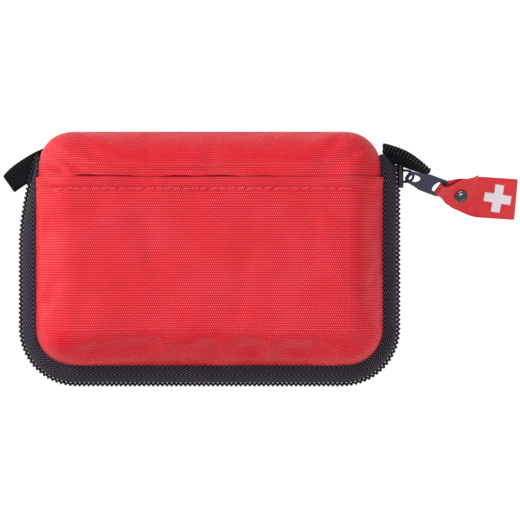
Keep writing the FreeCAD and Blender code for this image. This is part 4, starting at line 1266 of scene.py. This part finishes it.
PULL_LONG = 14.35
body_outline = rounded([(-0.55, -1.9), (0.6, -2.8), (3.6, -3.4), (6.6, -4.4), (PULL_LONG, -4.4),
                        (PULL_LONG, 4.4), (6.6, 4.4), (3.6, 3.4), (0.6, 2.8), (-0.55, 1.9)], 1.3)
eye = rounded([(0.55, -1.1), (1.8, -2.15), (3.9, -2.0), (5.0, 0.0), (3.9, 2.0), (1.8, 2.15),
               (0.55, 1.1)], 0.9)
slot_hole = []
for share in np.linspace(-1, 1, 15):
    slot_hole.append((10.3 + 0.95 * share ** 2, 2.95 * share))
slot_hole += [(12.6, 2.95), (12.95, 2.6), (12.95, -2.6), (12.6, -2.95)]
stamped("puller_plate", [body_outline, eye[::-1], slot_hole[::-1]], 0.9, 0.16, gunmetal, pull_place,
        "puller", ["puller"])

# %% [markdown]
# ## Ribbon tag
#
# One length of 15 mm ribbon goes through the puller's slot and is held by a rivet. From its
# short front flap it passes round the slot's bar, runs back under the rivet to its far fold and
# returns to end under the flap. It is laid as one strip: at each station its middle, width and
# twist are set, so it stays one continuous cloth with two real folds.

# %% Lay the ribbon
ribbon_pivot = Vector(joints["ribbon_swing"]["pos_m"])
ribbon_place = (Matrix.Translation(ribbon_pivot) @ pull_turn
                @ Matrix.Rotation(math.radians(4), 4, "Y"))
RIVET_AT = 7.7
FOLD_AT = 28.9


RIBBON_BEND = math.radians(13)


def twist_at(x):
    """Turn of the ribbon about its length: flat at the bar, 45 degrees past the rivet."""
    first = smooth_step((x - 1.0) / 4.2) * -22.5
    return math.radians(first + smooth_step((x - 9.8) / 4.0) * -22.5)


def width_at(x, flap=False):
    """The ribbon's width, gathered at the bar; the flap stays narrower."""
    wide = 5.7 + 5.6 * smooth_step((x - 0.4) / 4.6) + 1.6 * smooth_step((x - 5) / 3)
    if not flap:
        wide += 2.1 * smooth_step((x - 9) / 4.5)
    return wide


def ribbon_path():
    """Stations along the strip: x, height, share of flap."""
    path = [(12.2, 0.95, 1.0), (11.0, 0.95, 1.0), (9.6, 0.9, 1.0), (7.7, 0.82, 1.0),
            (5.6, 0.9, 1.0), (3.8, 1.1, 1.0), (2.2, 1.35, 0.8)]
    for angle in range(75, 285, 22):
        turn = math.radians(angle)
        path.append((1.5 * math.cos(turn), 1.5 * math.sin(turn), 0.5))
    path += [(2.2, -1.3, 0.0), (3.8, -1.0, 0.0), (5.6, -0.78, 0.0), (7.7, -0.72, 0.0),
             (9.6, -0.75, 0.0), (12, -0.85, 0.0), (15, -0.95, 0.0), (18, -1.02, 0.0),
             (21, -1.05, 0.0), (24, -1.1, 0.0), (26.5, -1.15, 0.0), (27.9, -1.1, 0.0)]
    for angle in range(-70, 90, 23):
        turn = math.radians(angle)
        path.append((FOLD_AT - 1.0 + math.cos(turn), 1.05 * math.sin(turn), 0.0))
    path += [(27.0, 1.05, 0.0), (25, 0.98, 0.0), (22, 0.9, 0.0), (19, 0.82, 0.0),
             (16, 0.6, 0.0), (13.5, 0.36, 0.0), (11.5, 0.2, 0.0), (9.5, 0.12, 0.0),
             (7.0, 0.08, 0.0), (5.4, 0.05, 0.0)]
    return path


def ribbon_point(x, across, height, flap):
    """A point on the ribbon's cloth in the puller's frame."""
    wide = width_at(x, flap > 0.5)
    gather = math.exp(-max(x, 0) / 3.4) * 0.42 * math.cos(across * 3 * math.pi)
    end_sway = 2.0 * flap * smooth_step((x - 3) / 9)
    share = float(np.clip((x - 7) / 6, 0, 1))
    drift = 6 * (share ** 3 - share ** 4 / 2) + max(x - 13, 0)
    heading = RIBBON_BEND * smooth_step(share)
    y = across * wide / 2 * math.cos(heading) + end_sway + drift * math.sin(RIBBON_BEND)
    curl = 0.25 * across * across * smooth_step((x - 15) / 10)
    z = height + (gather if x > 1 else 0) - curl * (1 if height > 0 else -1)
    twist = twist_at(x)
    x -= across * wide / 2 * math.sin(heading)
    return Vector((x, y * math.cos(twist) - z * math.sin(twist),
                   y * math.sin(twist) + z * math.cos(twist)))


path = ribbon_path()
ACROSS = np.linspace(-1, 1, 13)
points, cloth, run, last = [], [], 0.0, None
for x, height, flap in path:
    if last is not None:
        run += math.hypot(x - last[0], height - last[1])
    last = (x, height)
    for across in ACROSS:
        skew = 1.3 * across * (flap > 0.9) * float(smooth_step((x - 10.5) / 1.7))
        point = ribbon_place @ (ribbon_point(x + skew, across, height, flap) * MM)
        points.append(np.array(point) / MM)
        cloth.append((run, across * 7.5))
faces = grid_faces(len(path), len(ACROSS))
ribbon = piece("ribbon_strip", points, faces, ribbon_satin, "ribbon",
               ["ribbon_tag"], np.array(cloth), thick=0.32, side=0.0, level=2)
print("ribbon cut to", round(run, 1), "mm")

# %% [markdown]
# The pale plus sign is a flat print on the ribbon: two equal bars whose width is a third of
# their length. It is made as a thin skin on the ribbon's own surface, so that it bends with it.

# %% Print the plus sign
CROSS_AT, CROSS_SPAN, CROSS_TILT = 21.6, 10.2, math.radians(-5)
steps = 18
place_of, faces, points, cloth = {}, [], [], []
for row in range(steps):
    for column in range(steps):
        a = (column + 0.5) / steps * 2 - 1
        b = (row + 0.5) / steps * 2 - 1
        if abs(a) > 1 / 3 and abs(b) > 1 / 3:
            continue
        corners = []
        for i, j in ((column, row), (column + 1, row), (column + 1, row + 1), (column, row + 1)):
            if (i, j) not in place_of:
                p = (i / steps * 2 - 1) * CROSS_SPAN / 2
                q = (j / steps * 2 - 1) * CROSS_SPAN / 2
                x = CROSS_AT + p * math.cos(CROSS_TILT) - q * math.sin(CROSS_TILT)
                y = p * math.sin(CROSS_TILT) + q * math.cos(CROSS_TILT)
                height = np.interp(x, (13.5, 16, 19, 22, 25, 27),
                                   (0.36, 0.6, 0.82, 0.9, 0.98, 1.05))
                local = ribbon_point(x, y / (width_at(x) / 2), height + 0.24, 0.0)
                place_of[(i, j)] = len(points)
                points.append(np.array(ribbon_place @ (local * MM)) / MM)
                cloth.append((x, y))
            corners.append(place_of[(i, j)])
        faces.append(tuple(corners))
piece("ribbon_plus", points, faces, ribbon_print, "ribbon", ["ribbon_cross"],
      np.array(cloth), thick=0.1, side=0.0)


# %% Turn the rivet
def turned(profile, place, sides=40):
    """Points and faces of a profile of (radius, height) turned about its axis."""
    points, cloth = [], []
    for radius, height in profile:
        for step in range(sides):
            angle = 2 * math.pi * step / sides
            local = Vector((radius * math.cos(angle), radius * math.sin(angle), height)) * MM
            points.append(np.array(place @ local) / MM)
            cloth.append((angle * 5, height))
    faces = grid_faces(len(profile), sides, 0, False, True)
    faces.append(tuple(reversed(range(sides))))
    faces.append(tuple(range((len(profile) - 1) * sides, len(profile) * sides)))
    return points, faces, cloth


rivet_place = (ribbon_place @ Matrix.Translation(Vector((RIVET_AT, 0, 0)) * MM)
               @ Matrix.Rotation(math.radians(-22.5), 4, "X"))
dome = [(2.2, 0.0), (2.48, 0.25), (2.5, 0.6), (2.38, 0.9), (2.1, 1.06), (1.9, 1.02), (1.75, 0.98),
        (1.3, 1.2), (0.7, 1.32), (0.05, 1.36)]
for name, node, side in (("rivet_dome", "rivet_cap", 1), ("rivet_back", "rivet_stud", -1)):
    flip = rivet_place if side > 0 else rivet_place @ Matrix.Rotation(math.pi, 4, "X")
    seat = flip @ Matrix.Translation(Vector((0, 0, 0.95)) * MM)
    points, faces, cloth = turned(dome, seat)
    piece(name, points, faces, rivet_metal, "ribbon", [node], np.array(cloth))

# %% [markdown]
# ## Inside the case
#
# The cover opens on a working kit, so what is inside gets the same care. Its cloth comes first:
# one lining sheet a little inside the outer cloth, black binding over the raw seams, and an open
# mesh pocket with a hem in the cover.

# %% More finishes: lining mesh, gauze, film, paper and adhesive tape
def open_mesh(name, thread, pitch=1.5, hole=0.62, depth=0.08):
    """Knitted mesh: oval holes in offset rows, cut out by alpha."""
    finish = Finish(name, Roughness=0.7)
    place, along, across = finish.cloth()
    row = across / (pitch * 0.87)
    shift = row.maths("FLOOR").maths("MODULO", 2.0).maths("ABSOLUTE") * 0.5
    x = (along / pitch + shift).maths("FRACT") - 0.5
    y = row.maths("FRACT") - 0.5
    far = (x * x + y * y * 0.8).maths("SQRT") * 2
    solid = far.within(hole - 0.06, hole + 0.06)
    fluff = finish.noise(place, 3.0)
    tone = finish.mix(tuple(0.5 * part for part in thread[:3]) + (1.0,), thread, fluff)
    return finish.dress(tone, fluff * 0.2 + 0.6, finish.bump(far, depth), solid)


def crepe(name, low_tone, high_tone, pitch=0.9, depth=0.25):
    """Crinkled open-weave bandage."""
    finish = Finish(name, Roughness=0.95, Sheen_Weight=0.2)
    place, along, across = finish.cloth()
    bend = finish.noise(place, 0.5, 3.0) * 1.6
    crinkle = (across + bend).wave(pitch)
    rib = (along + bend * 0.4).wave(0.7)
    share = crinkle * 0.55 + rib * 0.3 + finish.noise(place, 1.6, 4.0) * 0.3
    colour = finish.mix(low_tone, high_tone, share.within(0.15, 1.0))
    return finish.dress(colour, 0.96 - share * 0.08, finish.bump(share, depth))


def thin_film(name, tint, cover, depth=0.12):
    """Clear plastic film: mostly see-through, shining where it wrinkles."""
    finish = Finish(name, Specular_IOR_Level=0.9, Coat_Weight=0.5, Coat_Roughness=0.06)
    place = finish.cloth()[0]
    wrinkle = finish.noise(place, 0.12, 4.0, 0.6)
    fine = finish.noise(place, 0.8, 3.0)
    ridge = (wrinkle - 0.5).maths("ABSOLUTE") * 4
    shine = 1 - ridge.within(0.0, 0.5)
    colour = finish.mix(tint, srgb(255, 255, 255), shine)
    alpha = shine * 0.35 + cover + fine * 0.08
    return finish.dress(colour, fine * 0.15 + 0.06, finish.bump(wrinkle + fine * 0.2, depth), alpha)


def crimped_paper(name, tone, ink, depth=0.06, band=0.0, rough=0.7):
    """Coated paper with fibres, light creases and, where asked, one plain printed band."""
    finish = Finish(name, Specular_IOR_Level=0.4)
    place, _, across = finish.cloth()
    fibre = finish.noise(place, 2.2, 4.0)
    crease = (finish.noise(place, 0.11, 3.0) - 0.5).maths("ABSOLUTE").within(0.0, 0.06)
    shaded = tuple(0.86 * part for part in tone[:3]) + (1.0,)
    colour = finish.mix(tone, shaded, fibre * (1 - crease * 0.6))
    if band:
        edge = (across - band).maths("ABSOLUTE").within(1.2, 1.35)
        colour = finish.mix(ink, colour, edge)
    relief = finish.bump(crease + fibre * 0.3, depth)
    return finish.dress(colour, fibre * 0.18 + rough - 0.1, relief)


def wound_tape(name, tone, dark, pitch=0.36, depth=0.05):
    """Adhesive tape on its spool: fine turns on the flat ends, faint weave on the outside."""
    finish = Finish(name)
    place, along, across = finish.cloth()
    turns = across.wave(pitch)
    weave = along.wave(0.5) * 0.3
    dust = finish.noise(place, 1.1, 4.0)
    share = turns * 0.45 + weave + dust * 0.4
    return finish.dress(finish.mix(dark, tone, share.within(0.0, 0.9)), 0.82 - share * 0.1,
                        finish.bump(share, depth))


mesh_black = open_mesh("mesh_black", srgb(40, 39, 44))
gauze_crepe = crepe("gauze_crepe", srgb(206, 201, 190), srgb(248, 246, 240))
folded_cotton = crepe("folded_cotton", srgb(214, 212, 204), srgb(247, 246, 242), 0.5, 0.1)
glove_film = crimped_paper("glove_film", srgb(196, 214, 232), srgb(120, 150, 180), 0.15, rough=0.45)
clear_film = thin_film("clear_film", srgb(222, 230, 238), 0.14)
plaster_paper = crimped_paper("plaster_paper", srgb(243, 240, 232), srgb(60, 140, 120), band=3.6)
wipe_foil = crimped_paper("wipe_foil", srgb(236, 240, 244), srgb(70, 120, 176), 0.14,
                          band=4.6, rough=0.4)
compress_paper = crimped_paper("compress_paper", srgb(246, 246, 244), srgb(96, 160, 120), 0.1,
                               band=5.0)
cloth_tape = wound_tape("cloth_tape", srgb(246, 242, 230), srgb(206, 200, 184))
elastic_weave = herringbone("elastic_weave", srgb(15, 14, 17), srgb(60, 58, 66), pitch=1.1,
                            band=0.9, depth=0.14)

# %% Lining sheet
LINING_LIFT = -1.15
lined = whole_case(LINING_LIFT, SEAM_DROP_FRONT, SEAM_DROP_BACK)
lined_points = lined[0] + PUFF + lined[1] * np.minimum(relief, 0.5)[:, None]
lined_faces = [face[::-1] for face in lined[3]]
lining_sheet = piece("lining_sheet", lined_points, lined_faces, lining_cloth, None,
                     cloth=lined[2], level=1)
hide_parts("front_lining", "back_lining")
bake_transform(lining_sheet)


# %% Binding over the seams
def binding(name, node, body):
    """A flattened cord of tape over one raw seam."""
    low, high = box(node)
    middle = (low[2] + high[2]) / 2
    path = []
    for number, station in enumerate(stations(1.5)):
        spot, away = on_u(HALF - 2.0, BOTTOM + 2.0, station, 0.0)
        if spot[1] < high[1]:
            sway = 0.08 * math.sin(number * 0.7)
            path.append((spot[0] + away[0] * sway, spot[1] + away[1] * sway, middle))
    points, faces, cloth = tube(path, 0.55, 12, flat=2.9)
    piece(name, points, faces, binding_tape, body, [node], np.array(cloth))


binding("binding_front_tape", "seam_binding_front", "cover")
binding("binding_back_tape", "seam_binding_back", "root")

# %% [markdown]
# The mesh pocket is knitted mesh stretched over the cover's lower part. Its holes are cut by
# the finish, not by the mesh, because thousands of real holes would only slow everything down.
# Seen from the side it sags a little between its sewn edges.

# %% Mesh pocket and hem
mesh_low, mesh_high = box("mesh_pocket")
columns_x = np.linspace(mesh_low[0] + 0.3, mesh_high[0] - 0.3, 49)
rows_y = np.linspace(0, 1, 29)
CORNER_IN = 9.5
points, cloth = [], []
for x in columns_x:
    into = max(abs(x) - (mesh_high[0] - CORNER_IN), 0)
    bottom = mesh_low[1] + 0.3 + CORNER_IN - math.sqrt(max(CORNER_IN ** 2 - into ** 2, 0))
    for share in rows_y:
        y = bottom + (30.6 - bottom) * share
        sag = 0.9 * math.sin(math.pi * share) * math.cos(x / mesh_high[0] * math.pi / 2)
        sag += 0.16 * math.sin(x / 5.1) * math.sin(math.pi * share)
        points.append((x, y, 31.85 - sag))
        cloth.append((x, y))
faces = [face[::-1] for face in grid_faces(len(columns_x), len(rows_y))]
mesh_sheet = piece("mesh_pocket_sheet", points, faces, mesh_black, "cover",
                   ["mesh_pocket"], np.array(cloth), level=1)

hem_low, hem_high = box("mesh_pocket_hem")
path = [(x, (hem_low[1] + hem_high[1]) / 2 + 0.1 * math.sin(x / 4.0),
         31.8 - 0.12 * math.cos(x / 6.5)) for x in np.linspace(hem_low[0], hem_high[0], 90)]
points, faces, cloth = tube(path, 0.45, 14, flat=3.4, up=(0, 1, 0))
piece("mesh_hem_tape", points, faces, binding_tape, "cover", ["mesh_pocket_hem"],
      np.array(cloth))

# %% [markdown]
# ## Bandages and packets
#
# Each bandage is a real roll: its radius grows by a ply with each turn, its flat ends show the
# spiral, and its loose end leaves a step on the outside. The packets are pillows. Two sheets are
# sealed round their edges, so the height rises from a flat crimped seal to a full middle, and
# the film puckers beside the seal.

# %% Roll a bandage
def bandage_roll(name, node, turn_off):
    """A spiral roll in a node's box, its loose end at turn_off."""
    low, high = box(node)
    centre = (low + high) / 2
    full = (high[0] - low[0]) / 2 - 0.15
    half_long = (high[1] - low[1]) / 2 - 0.2
    sides = 96
    profile = [(radius, -half_long) for radius in np.arange(0.5, full - 0.5, 0.17)]
    profile += [(full - 0.3, -half_long + 0.05), (full, -half_long + 0.35)]
    profile += [(full, y) for y in np.linspace(-half_long + 1, half_long - 1, 34)]
    profile += [(full, half_long - 0.35), (full - 0.3, half_long - 0.05)]
    profile += [(radius, half_long) for radius in np.arange(full - 0.5, 0.5, -0.17)]
    points, cloth = [], []
    for radius, y in profile:
        for step in range(sides):
            angle = 2 * math.pi * step / sides
            spiral = step / sides
            end = abs(y) >= half_long - 0.01
            if end:
                ridge = math.sin(2 * math.pi * (radius / 0.85 - spiral))
                wobble = 0.22 * ridge + 0.14 * math.sin(3 * angle + radius)
                place_y = y + math.copysign(wobble - 0.25, y)
                reach = radius
            else:
                place_y = y
                reach = radius - 0.45 * spiral + 0.1 * math.sin(y / 2.1 + 2 * angle)
                reach += 0.07 * math.sin(y * 1.7 + 5 * angle)
            turn = angle + turn_off
            points.append((centre[0] + reach * math.cos(turn), centre[1] + place_y,
                           centre[2] + reach * math.sin(turn)))
            cloth.append((angle * full, radius if end else y))
    faces = grid_faces(len(profile), sides, 0, False, True)
    faces.append(tuple(reversed(range(sides))))
    faces.append(tuple(range((len(profile) - 1) * sides, len(profile) * sides)))
    made = piece(name, points, [face[::-1] for face in faces], gauze_crepe, "root",
                 [node], np.array(cloth))


bandage_roll("bandage_left", "gauze_roll_left", 0.9)
bandage_roll("bandage_right", "gauze_roll_right", 2.2)

# %% Elastic over both rolls
band_low, band_high = box("elastic_band")
roll_low, roll_high = box("gauze_roll_left")
radius = (roll_high[0] - roll_low[0]) / 2 + 0.4
left_x = (roll_low[0] + roll_high[0]) / 2
right_x = sum(box("gauze_roll_right")[k][0] for k in (0, 1)) / 2
roll_z = (roll_low[2] + roll_high[2]) / 2
path = [(left_x - radius, z) for z in np.linspace(band_low[2] + 0.1, roll_z - 1, 6)]
path += [(left_x + radius * math.cos(a), roll_z + radius * math.sin(a))
         for a in np.linspace(math.pi, math.pi / 2, 14)]
path += [(x, roll_z + radius - 0.25 * math.sin(math.pi * (x - left_x) / (right_x - left_x)))
         for x in np.linspace(left_x + 2, right_x - 2, 9)]
path += [(right_x + radius * math.cos(a), roll_z + radius * math.sin(a))
         for a in np.linspace(math.pi / 2, 0, 14)]
path += [(right_x + radius, z) for z in np.linspace(roll_z - 1, band_low[2] + 0.1, 6)]
points, cloth, walked, before = [], [], 0.0, None
for x, z in path:
    walked += 0.0 if before is None else math.hypot(x - before[0], z - before[1])
    before = (x, z)
    for y in np.linspace(band_low[1], band_high[1], 15):
        edge = abs(y - (band_low[1] + band_high[1]) / 2) / ((band_high[1] - band_low[1]) / 2)
        points.append((x, y + 0.12 * math.sin(walked / 2.4) * edge ** 6, z))
        cloth.append((walked, y))
elastic = piece("elastic_strap", points, [face[::-1] for face in grid_faces(len(path), 15)],
                elastic_weave, "root", ["elastic_band"], np.array(cloth),
                thick=0.6, side=0.0, level=1)
walked * MM


# %% Sew a pillow-shaped packet
def packet(low, high, seal=2.5, seal_thick=0.3, pucker=0.12, seed=0.0, rest=0.0, fullness=0.42):
    """A pillow in a box: rest is the share of the height at which its seal lies."""
    wide, tall, thick = high - low
    rows = max(14, int(wide / 1.1))
    columns = max(14, int(tall / 1.1))
    top, bottom, cloth = [], [], []
    for row in range(rows):
        for column in range(columns):
            a, b = row / (rows - 1), column / (columns - 1)
            x, y = a * wide, b * tall
            run = min(x, wide - x, y, tall - y)
            inside = max(run - seal, 0.0)
            reach = max(min(wide, tall) * 0.5 - seal, 1.0)
            rise = (1 - (1 - min(inside / reach, 1.0)) ** 2.2) ** fullness if inside > 0 else 0.0
            crimp = 0.04 * math.sin((x + y) * 2 * math.pi / 1.1) if run < seal else 0.0
            ripple = pucker * math.sin(x * 0.9 + seed) * math.sin(y * 0.7 + 2 * seed)
            ripple *= math.exp(-inside / 6) * (1 if inside > 0 else 0.4)
            seal_z = low[2] + seal_thick / 2 + (thick - seal_thick) * rest
            up = seal_z + seal_thick / 2 + crimp + ripple * 0.6
            down = seal_z - seal_thick / 2 + crimp
            full_up = high[2] - 0.06 - abs(ripple) * 0.6
            full_down = low[2] + 0.02
            top.append((low[0] + x, low[1] + y, up + (full_up - up) * rise))
            bottom.append((low[0] + x, low[1] + y, down + (full_down - down) * rise))
            cloth.append((x - wide / 2, y - tall / 2))
    points, faces = closed_slab(top, bottom, rows, columns)
    return points, faces, cloth + cloth


def lay_packets(name, node, count, finish, slot, body, thick_each, **shape):
    """A stack of packets in a node's box, each shifted sideways by its own small sway."""
    low, high = box(node)
    parts = []
    for number in range(count):
        sway = 0.35 * math.sin(number * 2.3 + 1)
        floor_z = low[2] + number * thick_each
        corner_low = np.array([low[0] + 0.35 + sway, low[1] + 0.2, floor_z])
        corner_high = np.array([high[0] - 0.35 + sway, high[1] - 0.2, floor_z + thick_each * 0.97])
        parts.append(packet(corner_low, corner_high, seed=number * 1.7, **shape))
    points, faces, cloth = joined(parts)
    made = piece(name, points, faces, finish, body, [node], cloth)
    return made


bag_low, bag_high = box("triangular_bandage")
inset = np.array([3.4, 3.4, 0.35])
points, faces, cloth = packet(bag_low + inset, bag_high - inset, seal=0.0, seal_thick=6.5, rest=0.5,
                              pucker=0.25, fullness=0.3)
folded = piece("folded_bandage", points, faces, folded_cotton, "root", (), cloth, level=1)
points, faces, cloth = packet(bag_low, bag_high, seal=2.6, rest=0.35, pucker=0.5, fullness=0.36)
bag = piece("bandage_bag", points, faces, clear_film, "root", ["triangular_bandage"],
            cloth, level=1)

glove_low, glove_high = box("glove_packet")
points, faces, cloth = packet(glove_low, glove_high, seal=2.2, rest=0.3, pucker=0.45, seed=2.0)
gloves = piece("glove_bag", points, faces, glove_film, "root", ["glove_packet"],
               cloth, level=1)

plaster_low, plaster_high = box("plaster_strips")
plasters = lay_packets("plaster_stack", "plaster_strips", 5, plaster_paper, "paper", "cover",
                       (plaster_high[2] - plaster_low[2]) / 5, seal=2.0, seal_thick=0.22, rest=0.4)
wipe_low, wipe_high = box("wipe_sachets")
wipes = lay_packets("wipe_stack", "wipe_sachets", 4, wipe_foil, "paper", "cover",
                    (wipe_high[2] - wipe_low[2]) / 4, seal=3.0, seal_thick=0.25, rest=0.4,
                    pucker=0.2)
compress = lay_packets("compress_bag", "compress_packet", 1, compress_paper, "paper", "cover",
                       box("compress_packet")[1][2] - box("compress_packet")[0][2],
                       seal=3.2, rest=0.35, pucker=0.35)

# %% [markdown]
# ## Adhesive tape, pins, tweezers and scissors
#
# The tape roll is turned from a profile with soft rims, and its spool from another. The metal
# tools keep their exact solids, which already have the right form, and only get a finish: a
# soft brushed steel for the blades, tweezers and pins, and a fine-grained black for the grips.

# %% Turn the tape roll and its spool
def ring_profile(outer, inner, low, high, soft):
    """Profile of a ring with softened rims, from its inside round its outside."""
    made = [(inner, low + soft), (inner + soft * 0.4, low + soft * 0.3), (inner + soft, low)]
    made += [(radius, low) for radius in np.linspace(inner + soft, outer - soft, 12)[1:]]
    made += [(outer - soft * 0.3, low + soft * 0.3), (outer, low + soft), (outer, (low + high) / 2),
             (outer, high - soft), (outer - soft * 0.3, high - soft * 0.3)]
    made += [(radius, high) for radius in np.linspace(outer - soft, inner + soft, 12)]
    made += [(inner + soft * 0.4, high - soft * 0.3), (inner, high - soft)]
    return made


def ring_piece(name, node, inner, finish, soft, recess=0.0):
    """A turned ring in a node's box, its ends set in by recess."""
    low, high = box(node)
    centre = (low + high) / 2
    outer = (high[0] - low[0]) / 2
    profile = ring_profile(outer, inner, low[2] + recess, high[2] - recess, soft)
    points, cloth = [], []
    sides = 96
    for radius, z in profile:
        for step in range(sides):
            angle = 2 * math.pi * step / sides
            points.append((centre[0] + radius * math.cos(angle),
                           centre[1] + radius * math.sin(angle), z))
            on_end = z in (low[2] + recess, high[2] - recess)
            cloth.append((angle * radius, radius if on_end else z))
    faces = [face[::-1] for face in grid_faces(len(profile), sides, 0, True, True)]
    piece(name, points, faces, finish, "root", [node], np.array(cloth))


tape_inner = (box("tape_core")[1][0] - box("tape_core")[0][0]) / 2
ring_piece("adhesive_tape", "tape_roll", tape_inner + 0.02, cloth_tape, 0.3, 0.15)
ring_piece("tape_spool", "tape_core", tape_inner - 1.5, spool_plastic, 0.35)


# %% Finish the metal tools
def coat(node, finish):
    """Give a CAD node that stays its finish."""
    obj = bpy.data.objects[node]
    if not obj.material_slots:
        obj.data.materials.append(finish)
    for holder in obj.material_slots:
        holder.link = "OBJECT"
        holder.material = finish


for node in ("safety_pins", "tweezers", "scissors_blade_fixed", "scissors_blade_moving"):
    coat(node, steel)
coat("scissors_rivet", rivet_metal)
for node in ("scissors_grip_fixed", "scissors_grip_moving"):
    coat(node, grip_plastic)
print("coated the tools")

# %% [markdown]
# ## Floor, light and camera
#
# The pouch lies on its back on a white sweep and is seen from straight above through a long
# lens. A low soft light at the left skims the weave, so that the left edge catches a pale sheen
# and the right side falls darker. A wider one overhead, a little right of the middle, fills the
# top. The sweep glows white of itself, and dim surroundings soften what is left.

# %% Floor
def floor_white():
    """A matt sweep that glows by itself, so that no shadow edge shows."""
    finish = Finish("floor_white", Roughness=0.9, Emission_Strength=0.93, Specular_IOR_Level=0.1)
    finish.skin.inputs["Emission Color"].default_value = (1, 1, 1, 1)
    place = finish.spot()
    cloud = finish.noise(place, 3.0, 2.0)
    white = finish.mix(srgb(120, 120, 120), srgb(126, 126, 126), cloud)
    return finish.dress(white, cloud * 0.05 + 0.85)


FLOOR_HALF = 3000
FLOOR_HEIGHT = -0.05
corners = ((-1, -1), (1, -1), (1, 1), (-1, 1))
floor = raw_piece("floor", [(a * FLOOR_HALF, b * FLOOR_HALF, FLOOR_HEIGHT) for a, b in corners],
                  [(0, 1, 2, 3)], floor_white())

# %% Studio light
WORLD_LIGHT = 0.22
AIM = Vector((0, 0, 0.02))
world = bpy.data.worlds.new("studio")
bpy.context.scene.world = world
world.use_nodes = True
world.node_tree.nodes["Background"].inputs["Color"].default_value = (1, 1, 1, 1)
world.node_tree.nodes["Background"].inputs["Strength"].default_value = WORLD_LIGHT


def softbox(name, place, wide, power):
    """A square lamp in metres and watts, turned to the case."""
    lamp = bpy.data.lights.new(name, "AREA")
    lamp.size = wide
    lamp.energy = power
    obj = bpy.data.objects.new(name, lamp)
    bpy.context.scene.collection.objects.link(obj)
    obj.location = place
    obj.rotation_euler = (AIM - Vector(place)).to_track_quat("-Z", "Y").to_euler()


softbox("key_left", (-1.0, 0.5, 0.55), 0.3, 12.5)
softbox("fill_above", (0.3, -0.25, 1.25), 0.5, 9.5)

# %% Camera
VIEW_WIDE = 189.8
CAMERA_FAR = 2.5
SENSOR = 36
centre = Vector((0.0184, -0.0005, 0.0))
lens = bpy.data.cameras.new("camera")
lens.sensor_width = SENSOR
lens.lens = SENSOR * (CAMERA_FAR - ZIP * MM) / (VIEW_WIDE * MM)
lens.clip_end = 20
camera = bpy.data.objects.new("camera", lens)
bpy.context.scene.collection.objects.link(camera)
camera.location = centre + Vector((0, 0, CAMERA_FAR))
camera.rotation_euler = (0, 0, 0)
bpy.context.scene.camera = camera
bpy.context.scene.view_settings.view_transform = "Standard"
